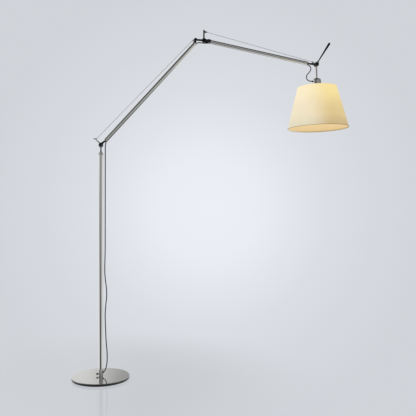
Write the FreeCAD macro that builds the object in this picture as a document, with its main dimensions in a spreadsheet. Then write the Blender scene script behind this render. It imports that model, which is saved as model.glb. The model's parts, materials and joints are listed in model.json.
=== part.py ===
"""Adjustable arm floor lamp: base, pole, two sprung arms and a tilting shade, each piece its own solid.

Millimetres. The origin is on the floor under the pole's axis, +Z is up and the arms lie in the plane Y = 0,
reaching towards +X. Each arm, the elbow link and the head are drawn about a pivot of their own and then placed.
"""
import FreeCAD
import Part
import Sketcher
import math
import os

Vector = FreeCAD.Vector
Rotation = FreeCAD.Rotation
Placement = FreeCAD.Placement

DIMENSIONS = [
    ("fit", 0.05, "radial clearance of a pin that turns in its hole"),
    ("gap", 0.3, "gap between two faces that slide past each other"),
    # base
    ("base_radius", 179, "outer radius of the base cover"),
    ("base_top", 17, "height of the base cover's top above the floor"),
    ("cover_wall", 2, "wall of the base cover"),
    ("cover_edge", 1.5, "height of the cover's rim above the floor, and its edge round"),
    ("pad_radius", 173, "radius of the floor pad"),
    ("pad_height", 2, "thickness of the floor pad"),
    ("weight_radius", 176.5, "radius of the steel weight"),
    ("bolt_radius", 5, "pole bolt, M10"),
    ("bolt_top", 53, "upper end of the pole bolt"),
    ("bolt_head_radius", 8, "pole bolt head"),
    ("bolt_seat", 9, "height of the recess that takes the bolt head"),
    ("recess_radius", 12, "radius of that recess"),
    # pole
    ("pole_radius", 15, "outer radius of the pole"),
    ("pole_bore", 13, "bore radius of the pole"),
    ("pole_top", 1409, "height of the pole's upper end"),
    ("socket_top", 70, "height of the socket that the pole stands on"),
    ("gland_height", 38, "height of the cord gland at the pole's foot"),
    ("gland_radius", 5, "radius of the foot gland"),
    ("lock_height", 29.5, "height of the foot lock screw"),
    ("lock_screw_radius", 2.5, "foot lock screw, M5"),
    ("lock_knob_radius", 6, "foot lock knob"),
    # swivel
    ("cap_height", 18, "height of the pole's end cap"),
    ("cap_top_radius", 7.5, "upper radius of the pole's end cap"),
    ("bush_radius", 7, "outer radius of the swivel bush"),
    ("swivel_radius", 4, "radius of the swivel pin"),
    ("swivel_low", 1380, "lower end of the swivel pin"),
    ("swivel_high", 1462, "upper end of the swivel pin"),
    # shoulder
    ("hub_height", 1471, "height of the shoulder hub's centre"),
    ("hub_radius", 15, "radius of the shoulder hub"),
    ("hub_half", 5, "half width of the shoulder hub"),
    ("hinge_radius", 3, "radius of every arm hinge pin"),
    ("horn_half", 3, "half thickness of the shoulder horn"),
    # arms
    ("arm_radius", 12.5, "outer radius of both arm tubes"),
    ("arm_bore", 11, "bore radius of both arm tubes"),
    ("arm_angle_low", 48.53, "lower arm above the horizontal, degrees"),
    ("arm_angle_high", -7.89, "upper arm above the horizontal, degrees"),
    ("axis_height", 1468, "where the lower arm's axis crosses the pole's axis"),
    ("shoulder_offset", 8, "shoulder hinge above the lower arm's axis"),
    ("elbow_along", 942.6, "lower elbow hinge along the lower arm"),
    ("elbow_offset", 17, "lower elbow hinge above the lower arm's axis"),
    ("tube_start", 46, "where each arm tube starts"),
    ("tube_end_low", 924, "where the lower arm tube ends"),
    ("tube_end_high", 749, "where the upper arm tube ends"),
    ("plug_length", 28, "how far a fitting reaches into its tube"),
    ("collar", 4, "length of the collar that a tube butts against"),
    ("fork_inner", 6.3, "half gap of the lower arm's fork"),
    ("fork_outer", 10.3, "half width of the lower arm's fork"),
    ("tongue_half", 4.6, "half thickness of the lower arm's tongue"),
    ("cable_radius", 1.2, "radius of a tension cable"),
    ("cable_low_start", 10.3, "lower cable's start along the lower arm, at the horn"),
    ("cable_low_rise", 48.8, "lower cable's start above the arm's axis"),
    ("cable_low_end", 25, "lower cable's end above the arm's axis"),
    ("cable_high_start", 10.9, "upper cable's start along the upper arm, at the lever's prong"),
    ("cable_high_rise", 58, "upper cable's start above the arm's axis"),
    ("cable_high_end", 789, "upper cable's end along the upper arm"),
    ("cable_high_drop", 18, "upper cable's end above the arm's axis"),
    ("lug_face", 926.4, "face of the lower lug that the lower cable ends at"),
    ("lug_half", 3, "half thickness of the lugs that the cables end at"),
    ("plug_bore", 9.2, "bore radius of the cup that closes an arm tube"),
    ("plug_floor", 3, "thickness of that cup's floor"),
    ("lead_slot", 7.2, "width of the slots that the flexible cord leaves the arms through"),
    ("spring_mean", 5, "mean radius of an arm spring"),
    ("spring_wire", 1, "wire radius of an arm spring"),
    ("spring_pitch", 5, "pitch of an arm spring"),
    ("spring_length", 150, "length of an arm spring"),
    ("spring_drop", 4, "springs below the arm's axis"),
    ("lead_rise", 6.5, "inner lead above the arm's axis"),
    ("lead_radius", 2.5, "radius of the inner lead"),
    # elbow
    ("link_length", 60, "distance between the two elbow hinges"),
    ("link_inner", 5.2, "half gap between the link's bars"),
    ("link_outer", 9.2, "half width over the link's bars"),
    ("link_half_height", 4, "half height of the link's bars"),
    ("link_eye", 8, "radius of the eye at each end of a bar"),
    ("disc_radius", 14, "radius of the elbow disc"),
    ("lever_half", 4.5, "half width of the elbow lever"),
    ("prong_end", 18, "reach of the lever's prong from the elbow hinge"),
    ("lever_top", 69, "lever's top above the elbow hinge"),
    ("yoke_inner", 9.8, "half gap of the upper arm's yoke"),
    ("yoke_outer", 13.6, "half width of the upper arm's yoke"),
    ("yoke_half_height", 11.5, "half height of the upper arm's yoke"),
    ("yoke_crotch", 28, "where the upper arm's yoke closes"),
    # head
    ("head_along", 819, "head hinge along the upper arm"),
    ("head_offset", 7, "head hinge above the upper arm's axis"),
    ("head_tongue_half", 4, "half thickness of the upper arm's tongue"),
    ("bar_top", 10.5, "flat top of the upper arm's tongue, under the cable lug"),
    ("head_tilt", 1.7, "head's lean away from the pole, degrees"),
    ("slot_half", 4.4, "half gap of the head hub"),
    ("head_hub_half", 8.4, "half width of the head hub"),
    ("head_hub_radius", 17, "radius of the head hub"),
    ("stem_radius", 6.25, "radius of the shade stem"),
    ("stem_low", -96, "lower end of the stem below the head hinge"),
    ("shell_radius", 31, "radius of the metal dome over the lampholder"),
    ("shell_low", -152, "lower edge of the dome"),
    ("shade_top", -160, "upper edge of the shade below the head hinge"),
    ("shade_low", -447.5, "lower edge of the shade below the head hinge"),
    ("shade_top_radius", 135.5, "upper radius of the shade"),
    ("shade_low_radius", 211, "lower radius of the shade"),
    ("shade_wall", 0.9, "thickness of the shade"),
    ("ring_radius", 1.5, "wire radius of the shade's rings"),
    ("holder_low", -176, "lower end of the lampholder below the head hinge"),
    ("bulb_neck", -178, "upper end of the bulb's globe below the head hinge"),
    ("bulb_radius", 30, "radius of the bulb's globe"),
    ("bulb_middle", -215, "bulb globe's middle below the head hinge"),
    ("handle_start", 19.2, "start of the handle's peg from the head hinge"),
    ("handle_peg", 9, "length of the handle's peg"),
    ("handle_end", 170, "end of the handle from its peg's start"),
    ("peg_radius", 2.6, "radius of the handle's peg"),
    ("handle_angle", 55.2, "handle above the horizontal in the head's own frame, degrees"),
    # knobs and cords
    ("knob_round", 1.5, "round at a knob's crown"),
    ("knob_radius", 8, "radius of the elbow and shoulder knobs"),
    ("knob_length", 11, "length of the elbow and shoulder knobs"),
    ("head_knob_radius", 10, "radius of the head knob"),
    ("head_knob_length", 16, "length of the head knob"),
    ("cord_radius", 3.25, "radius of the lamp's flexible cord"),
]

KNOB_FLUTES = 10
SHADE_SPOKES = 3
PITCH_AND_HEIGHT = 0
CUT_TOLERANCE = 0.01
SAME_PLACE = 0.01
ARC_SHARE = 0.45

doc = FreeCAD.newDocument("arm_floor_lamp")
sheet = doc.addObject("Spreadsheet::Sheet", "lamp")
for row, (alias, size, note) in enumerate(DIMENSIONS, 1):
    sheet.set(f"A{row}", note)
    sheet.set(f"B{row}", str(size))
    sheet.setAlias(f"B{row}", alias)
doc.recompute()

pieces = []


def full(expression):
    """An expression with each of the sheet's names written out in full."""
    words = expression.replace("(", " ( ").replace(")", " ) ").split()
    names = {alias for alias, size, note in DIMENSIONS}
    return " ".join("lamp." + word if word in names else word for word in words)


def value(expression):
    """The number that an expression in the sheet's names gives."""
    result = sheet.evalExpression(full(expression))
    return float(getattr(result, "Value", result))


def plain(number):
    """A worked-out number, written as an expression."""
    return str(round(number, 3))


# Placements of the six frames that the pieces are drawn in.

def leaning(degrees):
    """A turn in the arms' plane that raises +X by this many degrees."""
    return Rotation(Vector(0, 1, 0), -degrees)


WORLD = Placement()
SHOULDER = Placement(Vector(0, 0, value("hub_height")), Rotation())
LOWER_ARM = Placement(Vector(0, 0, value("axis_height")), leaning(value("arm_angle_low")))
ELBOW = Placement(LOWER_ARM.multVec(Vector(value("elbow_along"), 0, value("elbow_offset"))), Rotation())
UPPER_ARM = Placement(ELBOW.multVec(Vector(value("link_length"), 0, 0)), leaning(value("arm_angle_high")))
HEAD = Placement(
    UPPER_ARM.multVec(Vector(value("head_along"), 0, value("head_offset"))), leaning(value("head_tilt"))
)
ALONG_X = Placement(Vector(), Rotation(Vector(0, 1, 0), 90))
TO_FRONT = Placement(Vector(), Rotation(Vector(1, 0, 0), 90))
TO_ARM_SIDE = Vector(1, 0, 0)
TO_BACK_OF_POLE = Vector(-1, 0, 0)


def at(x, y, z):
    """A shift."""
    return Placement(Vector(x, y, z), Rotation())


# Sketches and features whose sizes follow the sheet.

def new_body(label, placement):
    """An empty body with its label and place, kept in the list of pieces."""
    body = doc.addObject("PartDesign::Body", label)
    body.Placement = placement
    pieces.append(body)
    return body


def new_sketch(body, role="XZ_Plane"):
    """A sketch on one of the body's own origin planes."""
    sketch = body.newObject("Sketcher::SketchObject", body.Label + "_sketch")
    plane = [item for item in body.Origin.OriginFeatures if item.Role == role][0]
    sketch.AttachmentSupport = [(plane, "")]
    sketch.MapMode = "FlatFace"
    return sketch


def bind(sketch, kind, places, expression):
    """Add a sized constraint that follows an expression."""
    number = sketch.addConstraint(Sketcher.Constraint(kind, *places, value(expression)))
    sketch.setExpression(f"Constraints[{number}]", full(expression))


def outline(sketch, corners):
    """A closed outline of straight sides, each corner bound to the sheet."""
    points = [Vector(value(x), value(y), 0) for x, y in corners]
    for start, end in zip(points, points[1:] + points[:1]):
        sketch.addGeometry(Part.LineSegment(start, end), False)
    for side in range(len(points)):
        following = (side + 1) % len(points)
        sketch.addConstraint(Sketcher.Constraint("Coincident", side, 2, following, 1))
    for side, (x, y) in enumerate(corners):
        bind(sketch, "DistanceX", (-1, 1, side, 1), x)
        bind(sketch, "DistanceY", (-1, 1, side, 1), y)


def circle(sketch, x, y, radius):
    """A circle with its centre and radius bound to the sheet."""
    centre = Vector(value(x), value(y), 0)
    number = sketch.addGeometry(Part.Circle(centre, Vector(0, 0, 1), value(radius)), False)
    bind(sketch, "DistanceX", (-1, 1, number, 3), x)
    bind(sketch, "DistanceY", (-1, 1, number, 3), y)
    bind(sketch, "Radius", (number,), radius)


def check_taken(label, before, after, tool):
    """Stop unless a cut took away just what its tool and the solid had in common."""
    taken = before.Volume - after.Volume
    meant = before.common(tool).Volume
    if taken <= 0 or abs(taken - meant) > CUT_TOLERANCE * meant:
        raise RuntimeError(f"{label}: the cut took {taken:.2f} mm3, not {meant:.2f}")


def extrude(body, kind, sketch, thickness):
    """A pad or pocket, the same distance to both sides of its sketch."""
    before = body.Tip.Shape if body.Tip else None
    feature = body.newObject("PartDesign::" + kind, body.Label + "_" + kind.lower())
    feature.Profile = sketch
    feature.Midplane = True
    feature.setExpression("Length", full(thickness))
    doc.recompute()
    if kind == "Pocket":
        normal = sketch.Placement.Rotation.multVec(Vector(0, 0, value(thickness)))
        tool = Part.makeFace(sketch.Shape.Wires, "Part::FaceMakerBullseye").extrude(normal)
        tool.translate(normal * -0.5)
        check_taken(feature.Label, before, feature.Shape, tool)
    return feature


def pad_outline(body, corners, thickness, kind="Pad"):
    """Add (or, as a Pocket, remove) a plate of this outline, centred on the body's own plane Y = 0."""
    sketch = new_sketch(body)
    outline(sketch, corners)
    return extrude(body, kind, sketch, thickness)


def pad_circle(body, x, y, radius, thickness, kind="Pad"):
    """Add (or, as a Pocket, remove) a disc, centred on the body's own plane Y = 0."""
    sketch = new_sketch(body)
    circle(sketch, x, y, radius)
    return extrude(body, kind, sketch, thickness)


def drill(body, role, x, y, radius, depth, towards):
    """A round hole from one of the body's own origin planes towards one side of it."""
    before = body.Tip.Shape
    sketch = new_sketch(body, role)
    circle(sketch, x, y, radius)
    normal = sketch.Placement.Rotation.multVec(Vector(0, 0, 1))
    hole = body.newObject("PartDesign::Pocket", body.Label + "_hole")
    hole.Profile = sketch
    hole.Reversed = normal.dot(towards) > 0
    hole.setExpression("Length", full(depth))
    doc.recompute()
    start = sketch.Placement.multVec(Vector(value(x), value(y), 0))
    check_taken(hole.Label, before, hole.Shape, Part.makeCylinder(value(radius), value(depth), start, towards))


def revolve(body, profile, axis="V_Axis"):
    """Turn a closed profile about the body's own Z axis (V_Axis) or X axis (H_Axis)."""
    sketch = new_sketch(body)
    outline(sketch, profile)
    feature = body.newObject("PartDesign::Revolution", body.Label + "_turning")
    feature.Profile = sketch
    feature.ReferenceAxis = (sketch, [axis])
    feature.Angle = 360
    doc.recompute()
    return feature


def turned(label, placement, profile):
    """A piece turned on a lathe: a closed profile of (radius, height) about its own Z axis."""
    body = new_body(label, placement)
    revolve(body, profile)
    return body


def tube_profile(inner, outer, low, high):
    """The profile of a plain tube or disc."""
    return [(inner, low), (outer, low), (outer, high), (inner, high)]


def round_edges_at(body, height, radius):
    """Round the circular edges at this height of the body's own frame."""
    base = body.Tip
    wanted = value(height)
    names = []
    for number, edge in enumerate(base.Shape.Edges, 1):
        box = edge.BoundBox
        level = abs(box.ZMin - wanted) < SAME_PLACE and abs(box.ZMax - wanted) < SAME_PLACE
        if level and isinstance(edge.Curve, Part.Circle):
            names.append(f"Edge{number}")
    feature = body.newObject("PartDesign::Fillet", body.Label + "_round")
    feature.Base = (base, names)
    feature.setExpression("Radius", full(radius))
    doc.recompute()


def repeat_round(body, feature, sketch, count):
    """Repeat a feature evenly round the normal of its sketch."""
    pattern = body.newObject("PartDesign::PolarPattern", body.Label + "_pattern")
    pattern.Originals = [feature]
    pattern.Axis = (sketch, ["N_Axis"])
    pattern.Angle = 360
    pattern.Occurrences = count
    body.Tip = pattern
    doc.recompute()


def knob(label, placement, radius, length, screw_radius, screw_length):
    """A clamp knob on the near side: its screw points along its own +Z, the grip is turned below it."""
    body = new_body(label, placement)
    revolve(body, [
        ("0", "0 - " + length), (radius, "0 - " + length), (radius, "0"),
        (screw_radius, "0"), (screw_radius, screw_length), ("0", screw_length),
    ])
    round_edges_at(body, "0 - " + length, "knob_round")
    sketch = new_sketch(body, "XY_Plane")
    circle(sketch, radius + " + 0.6", "0", "1.6")
    flute = extrude(body, "Pocket", sketch, length + " * 3")
    repeat_round(body, flute, sketch, KNOB_FLUTES)


# Base and pole.

def build_base():
    turned("floor_pad", WORLD, tube_profile("0", "pad_radius", "0", "pad_height"))

    turned("base_weight", WORLD, [
        ("bolt_radius + 0.3", "bolt_seat"), ("recess_radius", "bolt_seat"), ("recess_radius", "pad_height"),
        ("weight_radius", "pad_height"), ("weight_radius", "base_top - cover_wall"),
        ("bolt_radius + 0.3", "base_top - cover_wall"),
    ])

    cover = turned("base_cover", WORLD, [
        ("base_radius - cover_wall", "cover_edge"), ("base_radius", "cover_edge"),
        ("base_radius", "base_top"), ("pole_bore", "base_top"), ("pole_bore", "base_top - cover_wall"),
        ("base_radius - cover_wall", "base_top - cover_wall"),
    ])
    round_edges_at(cover, "base_top", "cover_edge")

    socket = turned("pole_socket", WORLD, tube_profile(
        "bolt_radius", "pole_bore - 0.1", "base_top - cover_wall", "socket_top"
    ))
    drill(socket, "YZ_Plane", "0", "lock_height", "lock_screw_radius + fit", "pole_bore * 2", TO_BACK_OF_POLE)

    turned("pole_bolt", WORLD, [
        ("0", "bolt_seat - 6.8"), ("bolt_head_radius", "bolt_seat - 6.8"), ("bolt_head_radius", "bolt_seat - 1.5"),
        ("bolt_radius", "bolt_seat - 1.5"), ("bolt_radius", "bolt_top"), ("0", "bolt_top"),
    ])
    turned("pole_bolt_washer", WORLD, tube_profile(
        "bolt_radius + 0.3", "recess_radius - 1.5", "bolt_seat - 1.5", "bolt_seat"
    ))

    pole = turned("pole", WORLD, tube_profile("pole_bore", "pole_radius", "base_top", "pole_top"))
    drill(pole, "YZ_Plane", "0", "lock_height", "lock_screw_radius + fit", "pole_radius * 2", TO_BACK_OF_POLE)
    drill(pole, "YZ_Plane", "0", "gland_height", "gland_radius", "pole_radius * 2", TO_ARM_SIDE)

    gland_place = at(value("pole_bore"), 0, value("gland_height")).multiply(ALONG_X)
    turned("foot_cord_gland", gland_place, [
        ("cord_radius + 0.2", "0.5"), ("gland_radius", "0.5"), ("gland_radius", "2.2"),
        ("gland_radius + 1.8", "2.2"), ("gland_radius + 1.8", "4.6"), ("gland_radius + 1.2", "5.2"),
        ("gland_radius + 1", "5.2"), ("cord_radius + 0.2", "2.4"),
    ])

    inlet_place = Placement(Vector(0, value("base_radius - cover_wall"), 9), Rotation(Vector(1, 0, 0), -90))
    turned("mains_lead_inlet", inlet_place, [
        ("0", "2"), ("4.6", "2"), ("4.6", "3.4"), ("3.6", "4.6"), ("2.2", "4.6"), ("2.2", "3"), ("0", "3"),
    ])

    lock_place = at(-value("pole_radius + 2"), 0, value("lock_height")).multiply(ALONG_X)
    knob("foot_lock_knob", lock_place, "lock_knob_radius", "10", "lock_screw_radius", "8")


# Swivel and shoulder.

def build_shoulder():
    cap = turned("pole_end_cap", WORLD, [
        ("bush_radius", "pole_top - 25"), ("pole_bore - 0.1", "pole_top - 25"), ("pole_bore - 0.1", "pole_top"),
        ("pole_radius", "pole_top"), ("pole_radius", "pole_top + 1.5"),
        ("cap_top_radius + 4", "pole_top + cap_height - 4"), ("cap_top_radius", "pole_top + cap_height"),
        ("bush_radius", "pole_top + cap_height"),
    ])
    round_edges_at(cap, "pole_top + cap_height - 4", "3")
    turned("swivel_bush", WORLD, tube_profile(
        "swivel_radius + fit", "bush_radius", "pole_top - 23", "pole_top + cap_height"
    ))
    turned("swivel_pin", WORLD, [
        ("0", "swivel_low"), ("swivel_radius - 1", "swivel_low"), ("swivel_radius", "swivel_low + 1"),
        ("swivel_radius", "pole_top + cap_height + gap"), ("cap_top_radius - 1", "pole_top + cap_height + gap"),
        ("cap_top_radius - 1", "pole_top + cap_height + 3"), ("swivel_radius", "pole_top + cap_height + 3"),
        ("swivel_radius", "swivel_high"), ("0", "swivel_high"),
    ])
    turned("swivel_retainer", WORLD, tube_profile(
        "swivel_radius", "bush_radius", "swivel_low + 3", "swivel_low + 5"
    ))

    hinge = LOWER_ARM.multiply(at(0, 0, value("shoulder_offset")))
    bracket = new_body("shoulder_bracket", SHOULDER)
    pad_circle(bracket, "0", "0", "hub_radius", "hub_half * 2")
    pad_outline(bracket, [
        ("0 - 1", "12"), ("0 - 9", "18.5"), ("0 - 18", "26"), ("0 - 27", "34"), ("0 - 33", "39.5"),
        ("0 - 38", "43"), ("0 - 43", "42.5"), ("0 - 45.5", "39"), ("0 - 44.5", "35.5"), ("0 - 41", "35"),
        ("0 - 38.5", "37"), ("0 - 34", "34.5"), ("0 - 29", "29"), ("0 - 20", "20.5"), ("0 - 13", "13.5"),
        ("0 - 10", "7"),
    ], "horn_half * 2")
    eye = SHOULDER.inverse().multVec(hinge.Base)
    pad_circle(bracket, plain(eye.x), plain(eye.z), "hinge_radius", "hub_half * 3", "Pocket")
    drill(bracket, "XY_Plane", "0", "0", "swivel_radius", "hub_radius * 2", Vector(0, 0, -1))

    pin("shoulder_hinge_pin", hinge, "fork_outer + 1")
    washers("shoulder_washers", hinge, "hub_half", "hub_half + 1")
    clamp_knob("shoulder_knob", hinge, "fork_outer + 1", "knob_radius", "knob_length")


def pin(label, hinge, reach):
    """A hinge pin along Y through a pivot, with a low head at the far side."""
    turned(label, hinge.multiply(TO_FRONT), [
        ("0", "0 - ( " + reach + " ) - 2"), ("hinge_radius + 3", "0 - ( " + reach + " ) - 2"),
        ("hinge_radius + 3", "0 - ( " + reach + " )"), ("hinge_radius", "0 - ( " + reach + " )"),
        ("hinge_radius", reach), ("1.6", reach), ("1.6", reach + " - 7"), ("0", reach + " - 7"),
    ])


def clamp_knob(label, hinge, reach, radius, length):
    """A knob on the near end of a hinge pin, its screw in the pin's threaded end."""
    place = hinge.multiply(at(0, -value(reach) - value("gap"), 0)).multiply(TO_FRONT.inverse())
    knob(label, place, radius, length, "1.55", "6")


def washers(label, hinge, low, high):
    """Two thin washers, one on each side of a pivot, as separate solids of one piece."""
    ring = doc.addObject("Part::Cylinder", label + "_disc")
    hole = doc.addObject("Part::Cylinder", label + "_hole")
    for item, radius in ((ring, "hinge_radius + 4"), (hole, "hinge_radius")):
        item.setExpression("Radius", full(radius))
        item.setExpression("Height", full(high + " - ( " + low + " )"))
    washer = doc.addObject("Part::Cut", label + "_near")
    washer.Base = ring
    washer.Tool = hole
    washer.Placement = at(0, 0, value(low))
    mirror = doc.addObject("Part::Mirroring", label + "_far")
    mirror.Source = washer
    mirror.Normal = Vector(0, 0, 1)
    pair = doc.addObject("Part::Compound", label)
    pair.Links = [washer, mirror]
    pair.Placement = hinge.multiply(TO_FRONT)
    pieces.append(pair)


# The two arms.

def fitting_cup(body, tube_end, inward):
    """The cup and collar that close an arm tube; the tube lies towards +X of its end where inward is +."""
    outward = " - " if inward == " + " else " + "
    reach = tube_end + inward + "plug_length"
    cup_floor = tube_end + inward + "plug_floor"
    collar_face = tube_end + outward + "collar"
    revolve(body, [
        (reach, "plug_bore"), (reach, "arm_bore - 0.1"), (tube_end, "arm_bore - 0.1"), (tube_end, "arm_radius"),
        (collar_face, "arm_radius"), (collar_face, "0"), (cup_floor, "0"), (cup_floor, "plug_bore"),
    ], axis="H_Axis")


def arm_insides(name, place, tube_end):
    """One arm's tube, with the spring, the cable that pulls it and the lead that lie inside."""
    turned(name + "_tube", place.multiply(ALONG_X), tube_profile("arm_bore", "arm_radius", "tube_start", tube_end))
    start = "tube_start + plug_length + 1"
    inside = place.multiply(at(0, 0, -value("spring_drop"))).multiply(ALONG_X)
    far = start + " + spring_length"
    turned(name + "_inner_cable", inside, [
        ("0", far + " + 2"), ("spring_mean + 1.4", far + " + 2"), ("spring_mean + 1.4", far + " + 10"),
        ("cable_radius", far + " + 10"), ("cable_radius", tube_end + " - plug_floor"),
        ("0", tube_end + " - plug_floor"),
    ])

    spring = new_body(name + "_spring", inside.multiply(at(0, 0, value(start))))
    section = new_sketch(spring)
    circle(section, "spring_mean", "0", "spring_wire")
    coil = spring.newObject("PartDesign::AdditiveHelix", name + "_spring_coil")
    coil.Profile = section
    coil.ReferenceAxis = (section, ["V_Axis"])
    coil.Mode = PITCH_AND_HEIGHT
    coil.setExpression("Pitch", full("spring_pitch"))
    coil.setExpression("Height", full("spring_length"))
    doc.recompute()

    lead = place.multiply(at(0, 0, value("lead_rise"))).multiply(ALONG_X)
    turned(name + "_inner_lead", lead, tube_profile(
        "0", "lead_radius", "tube_start + plug_floor", tube_end + " - plug_floor"
    ))


def straight_cable(label, place, start, end):
    """A taut cable between two points of an arm's own plane, with a ferrule turned at each end."""
    run = end - start
    spot = place.multiply(Placement(start, Rotation(Vector(0, 0, 1), run)))
    length = plain(run.Length)
    turned(label, spot, [
        ("0", "0"), ("2.4", "0"), ("2.4", "9"), ("cable_radius", "10.5"), ("cable_radius", length + " - 10.5"),
        ("2.2", length + " - 9"), ("2.2", length), ("0", length),
    ])


def build_lower_arm():
    arm_insides("lower_arm", LOWER_ARM, "tube_end_low")

    fork = new_body("lower_arm_root_fork", LOWER_ARM)
    fitting_cup(fork, "tube_start", " + ")
    pad_outline(fork, [
        ("0 - 1", "shoulder_offset - 7"), ("tube_start - collar", "0 - 5"), ("tube_start - collar", "5"),
        ("0 + 1", "shoulder_offset + 7"),
    ], "fork_outer * 2")
    pad_circle(fork, "0", "shoulder_offset", "7.5", "fork_outer * 2")
    pad_outline(fork, [
        ("0 - 20", "0 - 20"), ("tube_start - collar - 6", "0 - 20"), ("tube_start - collar - 6", "30"),
        ("0 - 20", "30"),
    ], "fork_inner * 2", "Pocket")
    pad_circle(fork, "0", "shoulder_offset", "hinge_radius + fit", "fork_outer * 3", "Pocket")
    pad_outline(fork, [
        ("tube_start - 15", "0 - 7.6"), ("tube_start - 15", "0 - 14"), ("tube_start + 0.5", "0 - 14"),
        ("tube_start + 0.5", "0 - 0.8"),
    ], "lead_slot", "Pocket")

    tip = new_body("lower_arm_tip", LOWER_ARM)
    fitting_cup(tip, "tube_end_low", " - ")
    pad_outline(tip, [
        ("tube_end_low + collar - 1", "0 - 3.4"), ("tube_end_low + collar + 5", "0 - 2.4"),
        ("elbow_along + 7.5", "elbow_offset - 4"), ("elbow_along - 5", "elbow_offset + 7.5"),
        ("tube_end_low + collar - 1", "11"),
    ], "tongue_half * 2")
    pad_circle(tip, "elbow_along", "elbow_offset", "9", "tongue_half * 2")
    pad_circle(tip, "elbow_along", "elbow_offset", "hinge_radius + fit", "tongue_half * 3", "Pocket")
    pad_outline(tip, [
        ("tube_end_low - 0.5", "0 - 11.3"), ("tube_end_low + collar + 1", "0 - 11.3"),
        ("tube_end_low + collar + 1", "0 - 3.7"), ("tube_end_low - 0.5", "0 - 3.7"),
    ], "lead_slot", "Pocket")

    lug = new_body("lower_arm_cable_lug", LOWER_ARM)
    revolve(lug, [
        ("tube_end_low - 8", "arm_radius"), ("tube_end_low", "arm_radius"), ("tube_end_low", "arm_radius + 1.2"),
        ("tube_end_low - 8", "arm_radius + 1.2"),
    ], axis="H_Axis")
    pad_outline(lug, [
        ("tube_end_low - 7", "arm_radius + 0.4"), ("tube_end_low - 0.5", "arm_radius + 0.4"),
        ("lug_face + 5.5", "cable_low_end - 3"), ("lug_face + 5.5", "cable_low_end + 3"),
        ("lug_face", "cable_low_end + 3"), ("lug_face", "cable_low_end - 3"),
    ], "lug_half * 2")

    straight_cable(
        "lower_arm_cable", LOWER_ARM,
        Vector(value("cable_low_start"), 0, value("cable_low_rise")),
        Vector(value("lug_face"), 0, value("cable_low_end")),
    )


def build_elbow():
    bars = new_body("elbow_link", ELBOW)
    pad_outline(bars, [
        ("0", "0 - link_half_height"), ("link_length", "0 - link_half_height"),
        ("link_length", "link_half_height"), ("0", "link_half_height"),
    ], "link_outer * 2")
    for x in ("0", "link_length"):
        pad_circle(bars, x, "0", "link_eye", "link_outer * 2")
    pad_outline(bars, [
        ("0 - 20", "0 - 20"), ("link_length + 20", "0 - 20"), ("link_length + 20", "20"), ("0 - 20", "20"),
    ], "link_inner * 2", "Pocket")
    for x in ("0", "link_length"):
        pad_circle(bars, x, "0", "hinge_radius", "link_outer * 3", "Pocket")

    lower = ELBOW
    upper = ELBOW.multiply(at(value("link_length"), 0, 0))
    lever = new_body("elbow_lever", upper)
    pad_circle(lever, "0", "0", "disc_radius", "link_inner * 2")
    pad_outline(lever, [
        ("0 - lever_half", "10"), ("lever_half", "10"), ("lever_half", "50"), ("12", "51.5"), ("17", "52.5"),
        ("prong_end", "54"), ("prong_end", "58"), ("17", "59.5"), ("12", "60.5"), ("lever_half", "62"),
        ("lever_half - 1", "lever_top"), ("1 - lever_half", "lever_top"),
    ], "lever_half * 2")
    pad_circle(lever, "0", "0", "hinge_radius", "link_inner * 3", "Pocket")

    pin("elbow_lower_pin", lower, "link_outer + 1")
    pin("elbow_upper_pin", upper, "yoke_outer + 1")
    clamp_knob("elbow_lower_knob", lower, "link_outer + 1", "knob_radius", "knob_length")
    clamp_knob("elbow_upper_knob", upper, "yoke_outer + 1", "knob_radius", "knob_length")


def build_upper_arm():
    arm_insides("upper_arm", UPPER_ARM, "tube_end_high")

    yoke = new_body("upper_arm_root_yoke", UPPER_ARM)
    fitting_cup(yoke, "tube_start", " + ")
    pad_outline(yoke, [
        ("0", "0 - 8"), ("yoke_crotch - 8", "0 - 8"), ("yoke_crotch", "0 - yoke_half_height"),
        ("tube_start - 1", "0 - yoke_half_height"), ("tube_start - 1", "yoke_half_height"),
        ("yoke_crotch", "yoke_half_height"), ("yoke_crotch - 8", "8"), ("0", "8"),
    ], "yoke_outer * 2")
    pad_circle(yoke, "0", "0", "8", "yoke_outer * 2")
    pad_outline(yoke, [
        ("0 - 30", "0 - 30"), ("yoke_crotch", "0 - 30"), ("yoke_crotch", "30"), ("0 - 30", "30"),
    ], "yoke_inner * 2", "Pocket")
    pad_circle(yoke, "0", "0", "hinge_radius + fit", "yoke_outer * 3", "Pocket")
    pad_outline(yoke, [
        ("yoke_crotch - 4", "0 - 13"), ("yoke_crotch + 12", "0 - 13"), ("yoke_crotch + 12", "0 - 1.2"),
        ("yoke_crotch - 4", "0 - 9.2"),
    ], "lead_slot", "Pocket")

    tip = new_body("upper_arm_tip", UPPER_ARM)
    fitting_cup(tip, "tube_end_high", " - ")
    pad_outline(tip, [
        ("tube_end_high + collar - 1", "0 - 5"), ("tube_end_high + collar + 12", "0 - 4.5"),
        ("head_along", "head_offset - 7"), ("head_along", "head_offset + 7"),
        ("cable_high_end + 11", "bar_top"), ("cable_high_end - 3", "bar_top"),
        ("tube_end_high + collar + 17", "6"), ("tube_end_high + collar - 1", "6"),
    ], "head_tongue_half * 2")
    pad_circle(tip, "head_along", "head_offset", "8", "head_tongue_half * 2")
    pad_circle(tip, "head_along", "head_offset", "hinge_radius + fit", "head_tongue_half * 3", "Pocket")

    lug = new_body("upper_arm_cable_lug", UPPER_ARM)
    pad_outline(lug, [
        ("cable_high_end", "bar_top"), ("cable_high_end + 8", "bar_top"), ("cable_high_end + 8", "cable_high_drop"),
        ("cable_high_end + 5", "cable_high_drop + 4"), ("cable_high_end", "cable_high_drop + 4"),
    ], "lug_half * 2")

    straight_cable(
        "upper_arm_cable", UPPER_ARM,
        Vector(value("cable_high_start"), 0, value("cable_high_rise")),
        Vector(value("cable_high_end"), 0, value("cable_high_drop")),
    )


# Head, lampholder and shade.

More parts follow.
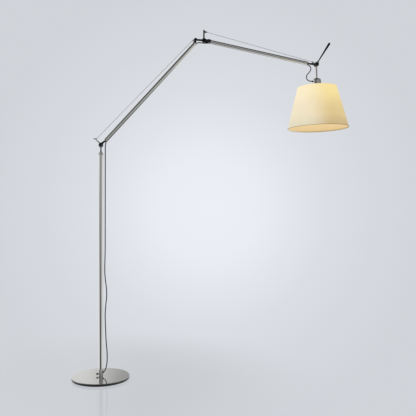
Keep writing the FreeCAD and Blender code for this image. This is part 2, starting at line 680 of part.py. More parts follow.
def build_head():
    lean = math.radians(value("handle_angle"))
    along = Vector(math.cos(lean), 0, math.sin(lean))
    across = Vector(-math.sin(lean), 0, math.cos(lean))

    def handle_outline(start, end, half):
        """A rectangle about the handle's axis, between two distances from the head hinge."""
        corners = [along * start - across * half, along * end - across * half,
                   along * end + across * half, along * start + across * half]
        return [(plain(corner.x), plain(corner.z)) for corner in corners]

    hub = new_body("head_hub", HEAD)
    pad_circle(hub, "0", "0", "head_hub_radius", "head_hub_half * 2")
    revolve(hub, [
        ("0", "0 - 13"), ("stem_radius + 2", "0 - 13"), ("stem_radius + 2", "0 - 30"), ("0", "0 - 30"),
    ])
    boss_end = value("handle_start + handle_peg")
    pad_outline(hub, handle_outline(8, boss_end, 4.6), "head_hub_half * 1.6")
    pad_outline(hub, [
        ("0 - 25", "0 - 17.8"), ("8.6", "0 - 17.8"), ("8.6", "25"), ("0 - 25", "25"),
    ], "slot_half * 2", "Pocket")
    pad_circle(hub, "0", "0", "hinge_radius", "head_hub_half * 3", "Pocket")
    pad_outline(
        hub, handle_outline(value("handle_start"), boss_end + 1, value("peg_radius")), "peg_radius * 2", "Pocket"
    )
    drill(hub, "XY_Plane", "0", "0", "stem_radius", "31", Vector(0, 0, -1))
    revolve(hub, [
        ("0", "0 - 17.8"), ("stem_radius + 1", "0 - 17.8"), ("stem_radius + 1", "0 - 22"), ("0", "0 - 22"),
    ])

    turned("shade_stem", HEAD, tube_profile("stem_radius - 1.5", "stem_radius", "stem_low", "0 - 22"))

    handle_place = HEAD.multiply(Placement(
        along * value("handle_start"), Rotation(Vector(0, 1, 0), 90 - value("handle_angle"))
    ))
    turned("head_handle", handle_place, [
        ("0", "0"), ("peg_radius", "0"), ("peg_radius", "handle_peg"), ("3.6", "handle_peg"),
        ("3.8", "handle_peg + 6"), ("8", "handle_end - 12"), ("7.6", "handle_end - 5"),
        ("5.4", "handle_end - 1.4"), ("3", "handle_end - 0.3"), ("0", "handle_end"),
    ])

    pin("head_pin", HEAD, "head_hub_half + 1")
    clamp_knob("head_knob", HEAD, "head_hub_half + 1", "head_knob_radius", "head_knob_length")

    dome = turned("lampholder_dome", HEAD, [
        ("4.6", "stem_low"), ("9", "stem_low"), ("20", "stem_low - 2.5"), ("27", "stem_low - 7.5"),
        ("shell_radius", "stem_low - 14"), ("shell_radius", "shell_low"), ("shell_radius - 2", "shell_low"),
        ("shell_radius - 2", "stem_low - 15"), ("25", "stem_low - 9.3"), ("19", "stem_low - 5"),
        ("9", "stem_low - 3"), ("4.6", "stem_low - 3"),
    ])
    drill(dome, "YZ_Plane", "0", "stem_low - 23", "gland_radius", "shell_radius + 5", TO_BACK_OF_POLE)
    grommet_place = HEAD.multiply(Placement(
        Vector(-value("shell_radius - 4"), 0, value("stem_low - 23")), Rotation(Vector(0, 1, 0), -90)
    ))
    turned("head_cord_grommet", grommet_place, [
        ("cord_radius", "0 - 2"), ("gland_radius - 0.1", "0 - 2"), ("gland_radius - 0.1", "4.4"),
        ("gland_radius + 1", "4.4"), ("gland_radius + 0.6", "6.5"), ("cord_radius + 0.8", "9"),
        ("cord_radius", "9"),
    ])

    turned("threaded_nipple", HEAD, [
        ("3", "stem_low - 14"), ("4.6", "stem_low - 14"), ("4.6", "stem_low - 8"), ("9", "stem_low - 8"),
        ("9", "stem_low - 3"), ("4.6", "stem_low - 3"), ("4.6", "stem_low + 16"), ("3", "stem_low + 16"),
    ])
    turned("lampholder", HEAD, [
        ("4.6", "stem_low - 8"), ("15", "stem_low - 8"), ("20", "stem_low - 14"), ("20", "holder_low"),
        ("14.2", "holder_low"), ("14.2", "stem_low - 40"), ("4.6", "stem_low - 40"),
    ])
    carrier = turned("shade_carrier", HEAD, tube_profile("20", "27", "shade_top - 3", "shade_top"))
    spoke = new_sketch(carrier, "XY_Plane")
    outline(spoke, [
        ("25", "0 - 3"), ("shade_top_radius - 5.4", "0 - 3"), ("shade_top_radius - 5.4", "3"), ("25", "3"),
    ])
    spoke.AttachmentOffset = at(0, 0, value("shade_top - 1.5"))
    arm = extrude(carrier, "Pad", spoke, "3")
    repeat_round(carrier, arm, spoke, SHADE_SPOKES)
    turned("shade_ring_nut", HEAD, tube_profile("20", "26", "shade_top - 9", "shade_top - 3"))

    turned("shade", HEAD, [
        ("shade_top_radius - shade_wall", "shade_top"), ("shade_top_radius", "shade_top"),
        ("shade_low_radius", "shade_low"), ("shade_low_radius - shade_wall", "shade_low"),
    ])
    rings = doc.addObject("Part::Compound", "shade_rings")
    rings.Links = [
        hoop("upper_ring", "shade_top_radius - shade_wall - ring_radius - 0.2", "shade_top - 1.8"),
        hoop("lower_ring", "shade_low_radius - shade_wall - ring_radius - 1.2", "shade_low + 2"),
    ]
    rings.Placement = HEAD
    pieces.append(rings)

    turned("bulb_base", HEAD, [
        ("0", "0 - 150"), ("13.2", "0 - 150"), ("13.2", "bulb_neck"), ("12.4", "bulb_neck"),
        ("12.4", "0 - 151"), ("0", "0 - 151"),
    ])
    turned("bulb_globe", HEAD, [
        ("12.4", "bulb_neck"), ("15", "bulb_neck"), ("18", "bulb_neck - 6"), ("26", "bulb_middle + 16"),
        ("bulb_radius", "bulb_middle + 4"), ("bulb_radius", "bulb_middle - 6"), ("26", "bulb_middle - 18"),
        ("16", "bulb_middle - 27"), ("0", "bulb_middle - 30"), ("0", "bulb_middle - 28.8"),
        ("15.6", "bulb_middle - 25.8"), ("25", "bulb_middle - 17.2"), ("bulb_radius - 1.2", "bulb_middle - 5.6"),
        ("bulb_radius - 1.2", "bulb_middle + 3.6"), ("25", "bulb_middle + 15.2"), ("16.8", "bulb_neck - 6.6"),
        ("12.4", "bulb_neck - 2"),
    ])


def hoop(name, radius, height):
    """A wire ring of the shade, in the head's own frame."""
    ring = doc.addObject("Part::Torus", name)
    ring.setExpression("Radius1", full(radius))
    ring.setExpression("Radius2", full("ring_radius"))
    ring.Placement = at(0, 0, value(height))
    return ring


# Flexible cords: straight runs joined by tangent arcs.

POLE_CORD_UPPER = [(33.6, 0, 1497), (29.6, 0, 1484), (27.3, 0, 1466), (27.2, 0, 1449)]
POLE_CORD_LOWER = [
    (27.2, 0, 1448.9), (27, 0, 800), (25.4, 0, 735), (24, 0, 672), (29, 0, 612), (36.6, 0, 560),
    (36.8, 0, 510), (30.8, 0, 460), (27, 0, 408), (27.8, 0, 358), (30.2, 0, 306), (32, 0, 254),
    (35.4, 0, 206), (39.6, 0, 164), (40.6, 0, 124), (38.6, 0, 92), (33.6, 0, 66), (26.6, 0, 49),
    (18.2, 0, 38.5),
]
ELBOW_CORD_LOWER = [
    (619.2, 0, 2157.2), (625.4, 0, 2164.2), (634.2, 0, 2168.2), (645.2, 0, 2168), (656, 0, 2167.8),
]
ELBOW_CORD_UPPER = [
    (656.1, 0, 2167.8), (666.5, 0, 2167.5), (678, 0, 2167.4), (690, 0, 2168), (700, 0, 2170.5), (708.5, 0, 2174),
]
HEAD_CORD = [
    (1417, 0, 2072.6), (1428.6, 0, 2069.7), (1438.1, 0, 2062.3), (1443, 0, 2051.3), (1442.4, 0, 2039.3),
    (1436.6, 0, 2028.8), (1428.1, 0, 2019), (1418.5, 0, 2008.8), (1411.2, 0, 1998), (1408.5, 0, 1986.3),
    (1411.4, 0, 1974.7), (1419.4, 0, 1965.8), (1430.5, 0, 1961.3), (1441.5, 0, 1960), (1451, 0, 1959.95),
]


def cord(label, route):
    """A flexible cord: a tube along straight runs joined by tangent arcs as large as the runs allow."""
    points = [Vector(*point) for point in route]
    edges = []
    radii = []
    here = points[0]
    for before, corner, after in zip(points, points[1:], points[2:]):
        arriving = (corner - before).normalize()
        leaving = (after - corner).normalize()
        turn = arriving.getAngle(leaving)
        reach = ARC_SHARE * min((corner - before).Length, (after - corner).Length)
        radius = reach / math.tan(turn / 2)
        inward = (leaving - arriving).normalize()
        centre = corner + inward * (radius / math.cos(turn / 2))
        start = corner - arriving * reach
        end = corner + leaving * reach
        edges.append(Part.LineSegment(here, start).toShape())
        edges.append(Part.Arc(start, centre - inward * radius, end).toShape())
        radii.append(round(radius))
        here = end
    edges.append(Part.LineSegment(here, points[-1]).toShape())
    path = Part.Wire(edges)
    section_radius = value("cord_radius")
    section = Part.Wire([Part.Circle(points[0], points[1] - points[0], section_radius).toShape()])
    tube = doc.addObject("Part::Feature", label)
    tube.Shape = path.makePipeShell([section], True, False)
    pieces.append(tube)
    ideal = math.pi * section_radius ** 2 * path.Length
    print(f"{label}: length {path.Length:.0f} mm, volume / (section x length) {tube.Shape.Volume / ideal:.4f}")
    print(f"  arc radii {radii}")


def build_cords():
    cord("pole_cord_upper", POLE_CORD_UPPER)
    cord("pole_cord_lower", POLE_CORD_LOWER)
    cord("elbow_cord_lower", ELBOW_CORD_LOWER)
    cord("elbow_cord_upper", ELBOW_CORD_UPPER)
    cord("head_cord", HEAD_CORD)


def write_parts():
    """Check every object and every piece, then write one STEP file for each piece."""
    doc.recompute()
    for item in doc.Objects:
        if "Invalid" in item.State or "Error" in item.State:
            raise RuntimeError(f"{item.Label} failed: {item.State} {item.getStatusString()}")
    for piece in pieces:
        if piece.Shape.isNull() or not piece.Shape.isValid() or not piece.Shape.Solids:
            raise RuntimeError(f"{piece.Label} has no valid solid")
    os.makedirs("parts", exist_ok=True)
    for piece in pieces:
        piece.Shape.exportStep(os.path.join("parts", piece.Label + ".step"))
        box = piece.Shape.BoundBox
        print(f"{piece.Label:26s} {piece.Shape.Volume:12.0f} mm3  z {box.ZMin:8.1f} to {box.ZMax:8.1f}")
    print(len(pieces), "pieces")


build_base()
build_shoulder()
build_lower_arm()
build_elbow()
build_upper_arm()
build_head()
build_cords()
write_parts()
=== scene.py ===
"""Looks for an adjustable arm floor lamp, laid out as a Blender add-on and run as a script.

Metres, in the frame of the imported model: the origin is on the floor under the pole, +Z is up and the arms reach
towards +X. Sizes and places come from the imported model's boxes and hinges.
"""

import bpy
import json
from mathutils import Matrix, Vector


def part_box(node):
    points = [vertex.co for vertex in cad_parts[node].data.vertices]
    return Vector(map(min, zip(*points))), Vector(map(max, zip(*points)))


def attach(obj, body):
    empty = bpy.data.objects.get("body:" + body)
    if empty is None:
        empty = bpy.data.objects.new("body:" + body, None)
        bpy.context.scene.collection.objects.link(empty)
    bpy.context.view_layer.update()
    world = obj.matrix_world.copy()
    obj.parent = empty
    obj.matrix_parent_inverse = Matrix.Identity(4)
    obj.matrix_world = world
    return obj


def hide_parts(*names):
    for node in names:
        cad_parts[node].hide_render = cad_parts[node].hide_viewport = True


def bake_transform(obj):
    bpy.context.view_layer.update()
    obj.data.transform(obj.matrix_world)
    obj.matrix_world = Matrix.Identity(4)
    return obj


bl_info = {
    "name": "Arm floor lamp",
    "version": (1, 0, 0),
    "blender": (4, 5, 0),
    "location": "View3D > Sidebar > Lamp",
    "description": "Builds the tubes, fittings, cords, shade and finishes of an adjustable arm floor lamp",
    "category": "Object",
}

import json
import math

import bmesh
import bpy
import numpy as np
from bpy.props import FloatProperty, FloatVectorProperty, IntProperty, PointerProperty
from mathutils import Matrix, Vector

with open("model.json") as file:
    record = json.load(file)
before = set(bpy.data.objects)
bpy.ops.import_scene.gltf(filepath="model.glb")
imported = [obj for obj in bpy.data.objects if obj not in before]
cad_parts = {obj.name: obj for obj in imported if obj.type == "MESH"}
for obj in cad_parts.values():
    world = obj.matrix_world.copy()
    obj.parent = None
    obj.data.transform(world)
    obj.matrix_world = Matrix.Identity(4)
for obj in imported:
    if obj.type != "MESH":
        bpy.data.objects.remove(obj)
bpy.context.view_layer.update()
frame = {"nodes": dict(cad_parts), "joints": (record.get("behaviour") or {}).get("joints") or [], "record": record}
HINGE = {joint["name"]: Vector(joint["pos_m"]) for joint in frame["joints"]}
SHOULDER = HINGE["shoulder_tilt"]
ELBOW_LOW = HINGE["elbow_lower_tilt"]
ELBOW_HIGH = HINGE["elbow_upper_tilt"]
HEAD = HINGE["head_tilt"]
MM = 0.001
UP = Vector((0, 0, 1))
NEAR = Vector((0, -1, 0))


# ---------------------------------------------------------------- settings

class LampSizes(bpy.types.PropertyGroup):
    tube_segments: IntProperty(
        name="Tube segments", description="Flat sides round each turned piece", default=96, min=24)
    tube_edge: FloatProperty(
        name="Tube edge", description="Chamfer at the ends of the tubes", default=0.0006, unit="LENGTH")
    casting_edge: FloatProperty(
        name="Casting edge", description="Round on the edges of the cast fittings", default=0.0009, unit="LENGTH")
    base_edge: FloatProperty(
        name="Base edge", description="Round between the base's top and its rim", default=0.0018, unit="LENGTH")
    knob_ribs: IntProperty(
        name="Knob ribs", description="Grip ribs round each knob", default=14, min=6)
    rib_radius: FloatProperty(
        name="Rib radius", description="Half width of a knob's grip rib", default=0.0009, unit="LENGTH")
    cord_sides: IntProperty(
        name="Cord sides", description="Flat sides round a flexible cord", default=14, min=8)
    cable_lay: FloatProperty(
        name="Cable lay", description="Length of one turn of a cable's strands", default=0.016, unit="LENGTH")
    cable_strands: IntProperty(
        name="Cable strands", description="Outer strands of a tension cable", default=6, min=3)
    shade_wall: FloatProperty(
        name="Shade wall", description="Thickness of the laminated shade", default=0.0010, unit="LENGTH")
    trim_width: FloatProperty(
        name="Trim width", description="Width of the tape folded over the shade's edges", default=0.008,
        unit="LENGTH")


class LampColours(bpy.types.PropertyGroup):
    aluminium: FloatVectorProperty(
        name="Aluminium", description="Polished tubes and base", subtype="COLOR", default=(0.80, 0.80, 0.78))
    black: FloatVectorProperty(
        name="Black", description="Joints, knobs and handle", subtype="COLOR", default=(0.005, 0.005, 0.0055))
    casting: FloatVectorProperty(
        name="Grey casting", description="Shoulder bracket and lugs", subtype="COLOR", default=(0.20, 0.20, 0.205))
    parchment: FloatVectorProperty(
        name="Parchment", description="Shade by daylight", subtype="COLOR", default=(0.28, 0.27, 0.235))
    glow: FloatVectorProperty(
        name="Glow", description="Lamplight through the shade", subtype="COLOR", default=(1.0, 0.74, 0.33))
    cord: FloatVectorProperty(
        name="Cord", description="Flexible cord's sheath", subtype="COLOR", default=(0.006, 0.006, 0.007))
    backdrop: FloatVectorProperty(
        name="Backdrop", description="Studio backdrop and floor", subtype="COLOR", default=(1.01, 1.04, 1.10))


# ---------------------------------------------------------------- nodes

def add_node(tree, kind, inputs=None, **settings):
    """A node with its settings, and its inputs given as values or as the sockets that feed them."""
    item = tree.nodes.new(kind)
    for key, value in settings.items():
        setattr(item, key, value)
    for key, value in (inputs or {}).items():
        if isinstance(value, bpy.types.NodeSocket):
            tree.links.new(value, item.inputs[key])
        else:
            item.inputs[key].default_value = value
    return item


def ramp(tree, factor, stops, interpolation="LINEAR"):
    """A colour ramp of (place, colour or grey) stops."""
    item = add_node(tree, "ShaderNodeValToRGB", {"Fac": factor})
    item.color_ramp.interpolation = interpolation
    elements = item.color_ramp.elements
    while len(elements) < len(stops):
        elements.new(0.5)
    for element, (place, colour) in zip(elements, stops):
        element.position = place
        element.color = (*colour, 1) if hasattr(colour, "__len__") else (colour, colour, colour, 1)
    return item.outputs["Color"]


def mix_colour(tree, factor, first, second, blend="MIX"):
    """A colour mix of two colours or sockets."""
    item = tree.nodes.new("ShaderNodeMix")
    item.data_type = "RGBA"
    item.blend_type = blend
    for place, value in ((0, factor), (6, first), (7, second)):
        if isinstance(value, bpy.types.NodeSocket):
            tree.links.new(value, item.inputs[place])
        elif place:
            item.inputs[place].default_value = (*value, 1)
        else:
            item.inputs[place].default_value = value
    return item.outputs[2]


def maths(tree, operation, first, second=0.0):
    """The result of a sum on one or two values or sockets."""
    item = add_node(tree, "ShaderNodeMath", {0: first, 1: second}, operation=operation)
    return item.outputs[0]


def spread(tree, value, low, high):
    """A value mapped from low..high to 0..1."""
    mapped = add_node(tree, "ShaderNodeMapRange", {"Value": value, "From Min": low, "From Max": high})
    return mapped.outputs["Result"]


def toward(tree, place, way):
    """How far a direction points along another one."""
    return add_node(
        tree, "ShaderNodeVectorMath", {0: place, 1: tuple(way)}, operation="DOT_PRODUCT").outputs["Value"]


def new_group(name, inputs, outputs):
    """An empty shader node group with named inputs and outputs."""
    group = bpy.data.node_groups.new(name, "ShaderNodeTree")
    for label, kind, default in inputs:
        socket = group.interface.new_socket(name=label, in_out="INPUT", socket_type=kind)
        if default is not None:
            socket.default_value = default
    for label, kind in outputs:
        group.interface.new_socket(name=label, in_out="OUTPUT", socket_type=kind)
    return group, group.nodes.new("NodeGroupInput"), group.nodes.new("NodeGroupOutput")


def surface_group():
    """Handled-surface detail: cloudy colour change, fine dust, and an uneven roughness."""
    if "Lamp surface" in bpy.data.node_groups:
        return bpy.data.node_groups["Lamp surface"]
    group, given, out = new_group(
        "Lamp surface",
        [("Color", "NodeSocketColor", (0.5, 0.5, 0.5, 1)), ("Roughness", "NodeSocketFloat", 0.4),
         ("Cloud", "NodeSocketFloat", 0.08), ("Dust", "NodeSocketFloat", 0.1),
         ("Grain scale", "NodeSocketFloat", 900.0), ("Grain", "NodeSocketFloat", 0.3)],
        [("Color", "NodeSocketColor"), ("Roughness", "NodeSocketFloat"), ("Height", "NodeSocketFloat")],
    )
    place = add_node(group, "ShaderNodeTexCoord").outputs["Object"]
    cloud = add_node(group, "ShaderNodeTexNoise", {"Vector": place, "Scale": 22.0, "Detail": 4.0}).outputs["Fac"]
    speck = add_node(group, "ShaderNodeTexNoise", {"Vector": place, "Scale": 240.0, "Detail": 3.0}).outputs["Fac"]
    grain = add_node(
        group, "ShaderNodeTexNoise", {"Vector": place, "Scale": given.outputs["Grain scale"], "Detail": 2.0}
    ).outputs["Fac"]
    shift = maths(group, "MULTIPLY", maths(group, "SUBTRACT", cloud, 0.5), given.outputs["Cloud"])
    bright = add_node(
        group, "ShaderNodeHueSaturation",
        {"Color": given.outputs["Color"], "Value": maths(group, "ADD", maths(group, "MULTIPLY", shift, 2.0), 1.0)},
    ).outputs["Color"]
    dusty = maths(group, "MULTIPLY", ramp(group, speck, [(0.52, 0.0), (0.70, 1.0)]), given.outputs["Dust"])
    colour = mix_colour(group, dusty, bright, (0.42, 0.41, 0.39))
    rough = maths(group, "ADD", given.outputs["Roughness"], maths(group, "ADD", shift, dusty))
    group.links.new(colour, out.inputs["Color"])
    group.links.new(rough, out.inputs["Roughness"])
    group.links.new(maths(group, "MULTIPLY", grain, given.outputs["Grain"]), out.inputs["Height"])
    return group


def lines_group():
    """Lines left by drawing, turning or spinning: they run round or along the UV map's U or V."""
    if "Lamp tool lines" in bpy.data.node_groups:
        return bpy.data.node_groups["Lamp tool lines"]
    group, given, out = new_group(
        "Lamp tool lines",
        [("U scale", "NodeSocketFloat", 2.0), ("V scale", "NodeSocketFloat", 800.0),
         ("Depth", "NodeSocketFloat", 1.0)],
        [("Height", "NodeSocketFloat"), ("Shade", "NodeSocketFloat")],
    )
    uv = add_node(group, "ShaderNodeUVMap", uv_map="along").outputs["UV"]
    parts = add_node(group, "ShaderNodeSeparateXYZ", {"Vector": uv})
    stretched = add_node(group, "ShaderNodeCombineXYZ", {
        "X": maths(group, "MULTIPLY", parts.outputs["X"], given.outputs["U scale"]),
        "Y": maths(group, "MULTIPLY", parts.outputs["Y"], given.outputs["V scale"]),
    }).outputs["Vector"]
    lines = add_node(
        group, "ShaderNodeTexNoise", {"Vector": stretched, "Scale": 1.0, "Detail": 5.0, "Roughness": 0.65}
    ).outputs["Fac"]
    group.links.new(maths(group, "MULTIPLY", lines, given.outputs["Depth"]), out.inputs["Height"])
    group.links.new(lines, out.inputs["Shade"])
    return group


def new_material(name):
    """A material with a Principled shader, and its tree."""
    material = bpy.data.materials.new(name)
    material.use_nodes = True
    return material, material.node_tree, material.node_tree.nodes["Principled BSDF"]


def finish_material(name, colour, roughness, metallic=0.0, cloud=0.08, dust=0.06, grain=(900.0, 0.3),
                    bump=0.15, lines=None, specular=0.5):
    """A finish made of handled-surface detail, with tool lines where the piece has them."""
    if name in bpy.data.materials:
        return bpy.data.materials[name]
    material, tree, shader = new_material(name)
    surface = add_node(tree, "ShaderNodeGroup", node_tree=surface_group())
    for label, value in (("Color", (*colour, 1)), ("Roughness", roughness), ("Cloud", cloud), ("Dust", dust),
                         ("Grain scale", grain[0]), ("Grain", grain[1])):
        surface.inputs[label].default_value = value
    height = surface.outputs["Height"]
    rough = surface.outputs["Roughness"]
    base = surface.outputs["Color"]
    if lines:
        tool = add_node(tree, "ShaderNodeGroup", node_tree=lines_group())
        for label, value in zip(("U scale", "V scale", "Depth"), lines):
            tool.inputs[label].default_value = value
        height = maths(tree, "ADD", height, tool.outputs["Height"])
        rough = maths(tree, "ADD", rough, maths(tree, "MULTIPLY", tool.outputs["Shade"], 0.04))
        streak = ramp(tree, tool.outputs["Shade"], [(0.3, 0.86), (0.7, 1.0)])
        base = mix_colour(tree, 1.0, base, streak, "MULTIPLY")
    tree.links.new(base, shader.inputs["Base Color"])
    tree.links.new(rough, shader.inputs["Roughness"])
    relief = add_node(tree, "ShaderNodeBump", {"Strength": bump, "Distance": 0.0003, "Height": height})
    tree.links.new(relief.outputs["Normal"], shader.inputs["Normal"])
    shader.inputs["Metallic"].default_value = metallic
    shader.inputs["Specular IOR Level"].default_value = specular
    return material


def finishes():
    """The lamp's finishes, by the record's slot."""
    colours = bpy.context.scene.lamp_colours
    metal = tuple(colours.aluminium)
    black = tuple(colours.black)
    return {
        "tube_aluminium": finish_material(
            "polished_tube", metal, 0.05, 1.0, cloud=0.02, dust=0.01, grain=(1400, 0.1), bump=0.012,
            lines=(90.0, 3.0, 0.6)),
        "base_aluminium": finish_material(
            "turned_base", metal, 0.10, 1.0, cloud=0.03, dust=0.02, grain=(1200, 0.1), bump=0.03,
            lines=(3.0, 900.0, 1.0)),
        "cap_satin": finish_material(
            "satin_cap", (0.36, 0.36, 0.35), 0.45, 0.2, cloud=0.04, dust=0.02, grain=(1200, 0.2), bump=0.05),
        # Near-black finish for the base's side: a painted dark reflection.
        "base_rim": finish_material(
            "base_rim_band", (0.03, 0.03, 0.032), 0.30, 0.3, cloud=0.05, dust=0.03, grain=(1200, 0.1), bump=0.05,
            lines=(3.0, 900.0, 0.6)),
        "dome_aluminium": finish_material(
            "spun_dome", metal, 0.09, 1.0, cloud=0.03, dust=0.02, grain=(1400, 0.1), bump=0.02,
            lines=(2.0, 900.0, 0.8)),
        "steel": finish_material("turned_steel", (0.55, 0.55, 0.56), 0.28, 1.0, grain=(1600, 0.3)),
        "brass": finish_material("bright_brass", (0.72, 0.50, 0.20), 0.25, 1.0, grain=(1500, 0.2)),
        "spring_steel": finish_material("oiled_spring", (0.30, 0.30, 0.32), 0.30, 1.0, dust=0.15),
        "cable_steel": finish_material("cable_wire", (0.55, 0.55, 0.56), 0.45, 1.0, dust=0.03),
        "carrier_steel": finish_material("bright_wire", (0.60, 0.60, 0.60), 0.30, 1.0, dust=0.05),
        "grey_metal": finish_material(
            "grey_casting", tuple(colours.casting), 0.42, 0.75, cloud=0.15, grain=(700, 0.6), bump=0.25),
        "black_metal": finish_material(
            "satin_black", black, 0.36, 0.0, cloud=0.2, dust=0.01, grain=(1100, 0.6), bump=0.15, specular=0.35),
        "black_plastic": finish_material(
            "moulded_black", black, 0.55, 0.0, cloud=0.15, dust=0.01, grain=(1500, 0.8), bump=0.2, specular=0.15),
        "lampholder_plastic": finish_material(
            "white_thermoset", (0.78, 0.76, 0.70), 0.38, 0.0, grain=(900, 0.4)),
        "cord_grey": finish_material(
            "cord_sheath", tuple(colours.cord), 0.45, 0.0, cloud=0.2, dust=0.03, grain=(1300, 0.8), bump=0.25,
            specular=0.35),
        "pad_felt": finish_material(
            "floor_felt", (0.02, 0.02, 0.022), 0.95, 0.0, cloud=0.3, dust=0.2, grain=(600, 1.0), bump=0.8),
        "weight_steel": finish_material(
            "turned_weight", (0.10, 0.10, 0.105), 0.60, 0.6, cloud=0.3, grain=(300, 1.0), bump=0.5),
    }


# ---------------------------------------------------------------- geometry

WELD_DISTANCE = 1e-6
ON_AXIS = 1e-7
FLAT_ANGLE = math.radians(1)
ROUNDED_ANGLE = math.radians(35)
TURNED_SHARP_ANGLE = math.radians(32)
SHARP_ANGLE = math.radians(40)


def frame_at(origin, direction, side=NEAR):
    """A matrix whose Z lies along direction and whose X is as near to side as it can be."""
    z = Vector(direction).normalized()
    x = (side - z * side.dot(z)).normalized()
    if x.length < 0.5:
        x = z.orthogonal().normalized()
    y = z.cross(x)
    turn = Matrix((x, y, z)).transposed().to_4x4()
    return Matrix.Translation(origin) @ turn


def linked(name, data):
    """A new object in the scene."""
    item = bpy.data.objects.new(name, data)
    bpy.context.scene.collection.objects.link(item)
    return item


def vertices_of(node):
    """A CAD node's vertices as an array."""
    return np.array([v.co for v in frame["nodes"][node].data.vertices], float)


def axis_of(node):
    """The two ends of a long straight node's middle line, lower X first, and its radius."""
    points = vertices_of(node)
    middle = (points.min(0) + points.max(0)) / 2
    direction = np.linalg.svd(points - points.mean(0), full_matrices=False)[2][0]
    if direction @ np.array((1.0, 0.0, 1.0)) < 0:
        direction = -direction
    along = (points - middle) @ direction
    across = np.linalg.norm(points - middle - np.outer(along, direction), axis=1)
    start = middle + direction * along.min()
    end = middle + direction * along.max()
    return Vector(start), Vector(end), float(across.max())


def turned_mesh(name, profile, place, segments=None, closed=True):
    """A mesh turned about its own Z from (radius, height) points, with U round and V along the profile."""
    segments = segments or bpy.context.scene.lamp_sizes.tube_segments
    mesh = bpy.data.meshes.new(name)
    build = bmesh.new()
    uv = build.loops.layers.uv.new("along")
    rings = []
    for radius, height in profile:
        if radius < ON_AXIS:
            rings.append([build.verts.new((0, 0, height))] * segments)
            continue
        rings.append([
            build.verts.new((
                radius * math.cos(2 * math.pi * step / segments),
                radius * math.sin(2 * math.pi * step / segments), height,
            )) for step in range(segments)
        ])
    lengths = [0.0]
    points = profile + profile[:1] if closed else profile
    for (r0, z0), (r1, z1) in zip(points, points[1:]):
        lengths.append(lengths[-1] + math.hypot(r1 - r0, z1 - z0))
    spans = len(points) - 1
    for span in range(spans):
        lower = rings[span]
        upper = rings[(span + 1) % len(rings)]
        for step in range(segments):
            after = (step + 1) % segments
            corners = [
                (lower[step], step, span), (lower[after], step + 1, span),
                (upper[after], step + 1, span + 1), (upper[step], step, span + 1),
            ]
            kept = []
            for corner in corners:
                if corner[0] not in [k[0] for k in kept]:
                    kept.append(corner)
            if len(kept) < 3:
                continue
            face = build.faces.new([k[0] for k in kept])
            for loop, (vertex, around, row) in zip(face.loops, kept):
                loop[uv].uv = (around / segments, lengths[row])
            face.smooth = True
    bmesh.ops.recalc_face_normals(build, faces=build.faces)
    build.to_mesh(mesh)
    build.free()
    mesh.set_sharp_from_angle(angle=TURNED_SHARP_ANGLE)
    mesh.transform(place)
    return mesh


def add_piece(name, mesh, body, slot, replaced=(), material=None):
    """Link a finished mesh as a piece that rides on a body and stands for CAD nodes."""
    piece = linked(name, mesh)
    if not mesh.materials:
        mesh.materials.append(material or finishes()[slot])
    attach(piece, body)
    if replaced:
        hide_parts(*replaced)
    return piece


def turned_piece(name, profile, place, body, slot, replaced=(), segments=None):
    """A lathe-turned piece."""
    return add_piece(name, turned_mesh(name, profile, place, segments), body, slot, replaced)


def edge_round(radius, height, size, steps=4, up=True):
    """Points of a quarter round on a turned profile's outer edge, from its side to its face."""
    sign = 1 if up else -1
    return [
        (radius - size + size * math.cos(math.pi / 2 * step / steps),
         height - sign * size + sign * size * math.sin(math.pi / 2 * step / steps))
        for step in range(steps + 1)
    ]


def softened_mesh(node, width, segments=3):
    """A copy of a CAD node with its triangles merged and its sharp edges rounded."""
    mesh = frame["nodes"][node].data.copy()
    mesh.materials.clear()
    build = bmesh.new()
    build.from_mesh(mesh)
    bmesh.ops.remove_doubles(build, verts=build.verts, dist=WELD_DISTANCE)
    bmesh.ops.dissolve_limit(build, angle_limit=FLAT_ANGLE, verts=build.verts, edges=build.edges)
    build.to_mesh(mesh)
    build.free()
    holder = linked(node + "_rounding", mesh)
    bevel = holder.modifiers.new("round", "BEVEL")
    bevel.width = width
    bevel.segments = segments
    bevel.limit_method = "ANGLE"
    bevel.angle_limit = ROUNDED_ANGLE
    result = baked(holder)
    result.shade_smooth()
    result.set_sharp_from_angle(angle=SHARP_ANGLE)
    return result


def baked(holder):
    """The evaluated mesh of an object, which is then removed."""
    depsgraph = bpy.context.evaluated_depsgraph_get()
    result = bpy.data.meshes.new_from_object(holder.evaluated_get(depsgraph))
    bpy.data.objects.remove(holder)
    return result


def with_tree(name, mesh, tree, values):
    """The mesh that a Geometry Nodes tree makes of a mesh, its named inputs given."""
    holder = linked(name + "_source", mesh)
    modifier = holder.modifiers.new("build", "NODES")
    modifier.node_group = tree
    for socket in tree.interface.items_tree:
        if socket.item_type == "SOCKET" and socket.in_out == "INPUT" and socket.name in values:
            modifier[socket.identifier] = values[socket.name]
    return baked(holder)


def new_tree(name, inputs):
    """An empty Geometry Nodes tree with a geometry input, named inputs and a geometry output."""
    tree = bpy.data.node_groups.new(name, "GeometryNodeTree")
    tree.interface.new_socket(name="Geometry", in_out="INPUT", socket_type="NodeSocketGeometry")
    for label, kind in inputs:
        tree.interface.new_socket(name=label, in_out="INPUT", socket_type=kind)
    tree.interface.new_socket(name="Geometry", in_out="OUTPUT", socket_type="NodeSocketGeometry")
    return tree, tree.nodes.new("NodeGroupInput"), tree.nodes.new("NodeGroupOutput")


def end_tree(tree, out, geometry, material_socket):
    """Realize the instances, set the material and close the tree."""
    real = add_node(tree, "GeometryNodeRealizeInstances", {"Geometry": geometry})
    painted = add_node(
        tree, "GeometryNodeSetMaterial", {"Geometry": real.outputs["Geometry"], "Material": material_socket})
    smooth = add_node(tree, "GeometryNodeSetShadeSmooth", {"Geometry": painted.outputs["Geometry"]})
    tree.links.new(smooth.outputs["Geometry"], out.inputs["Geometry"])
    return tree


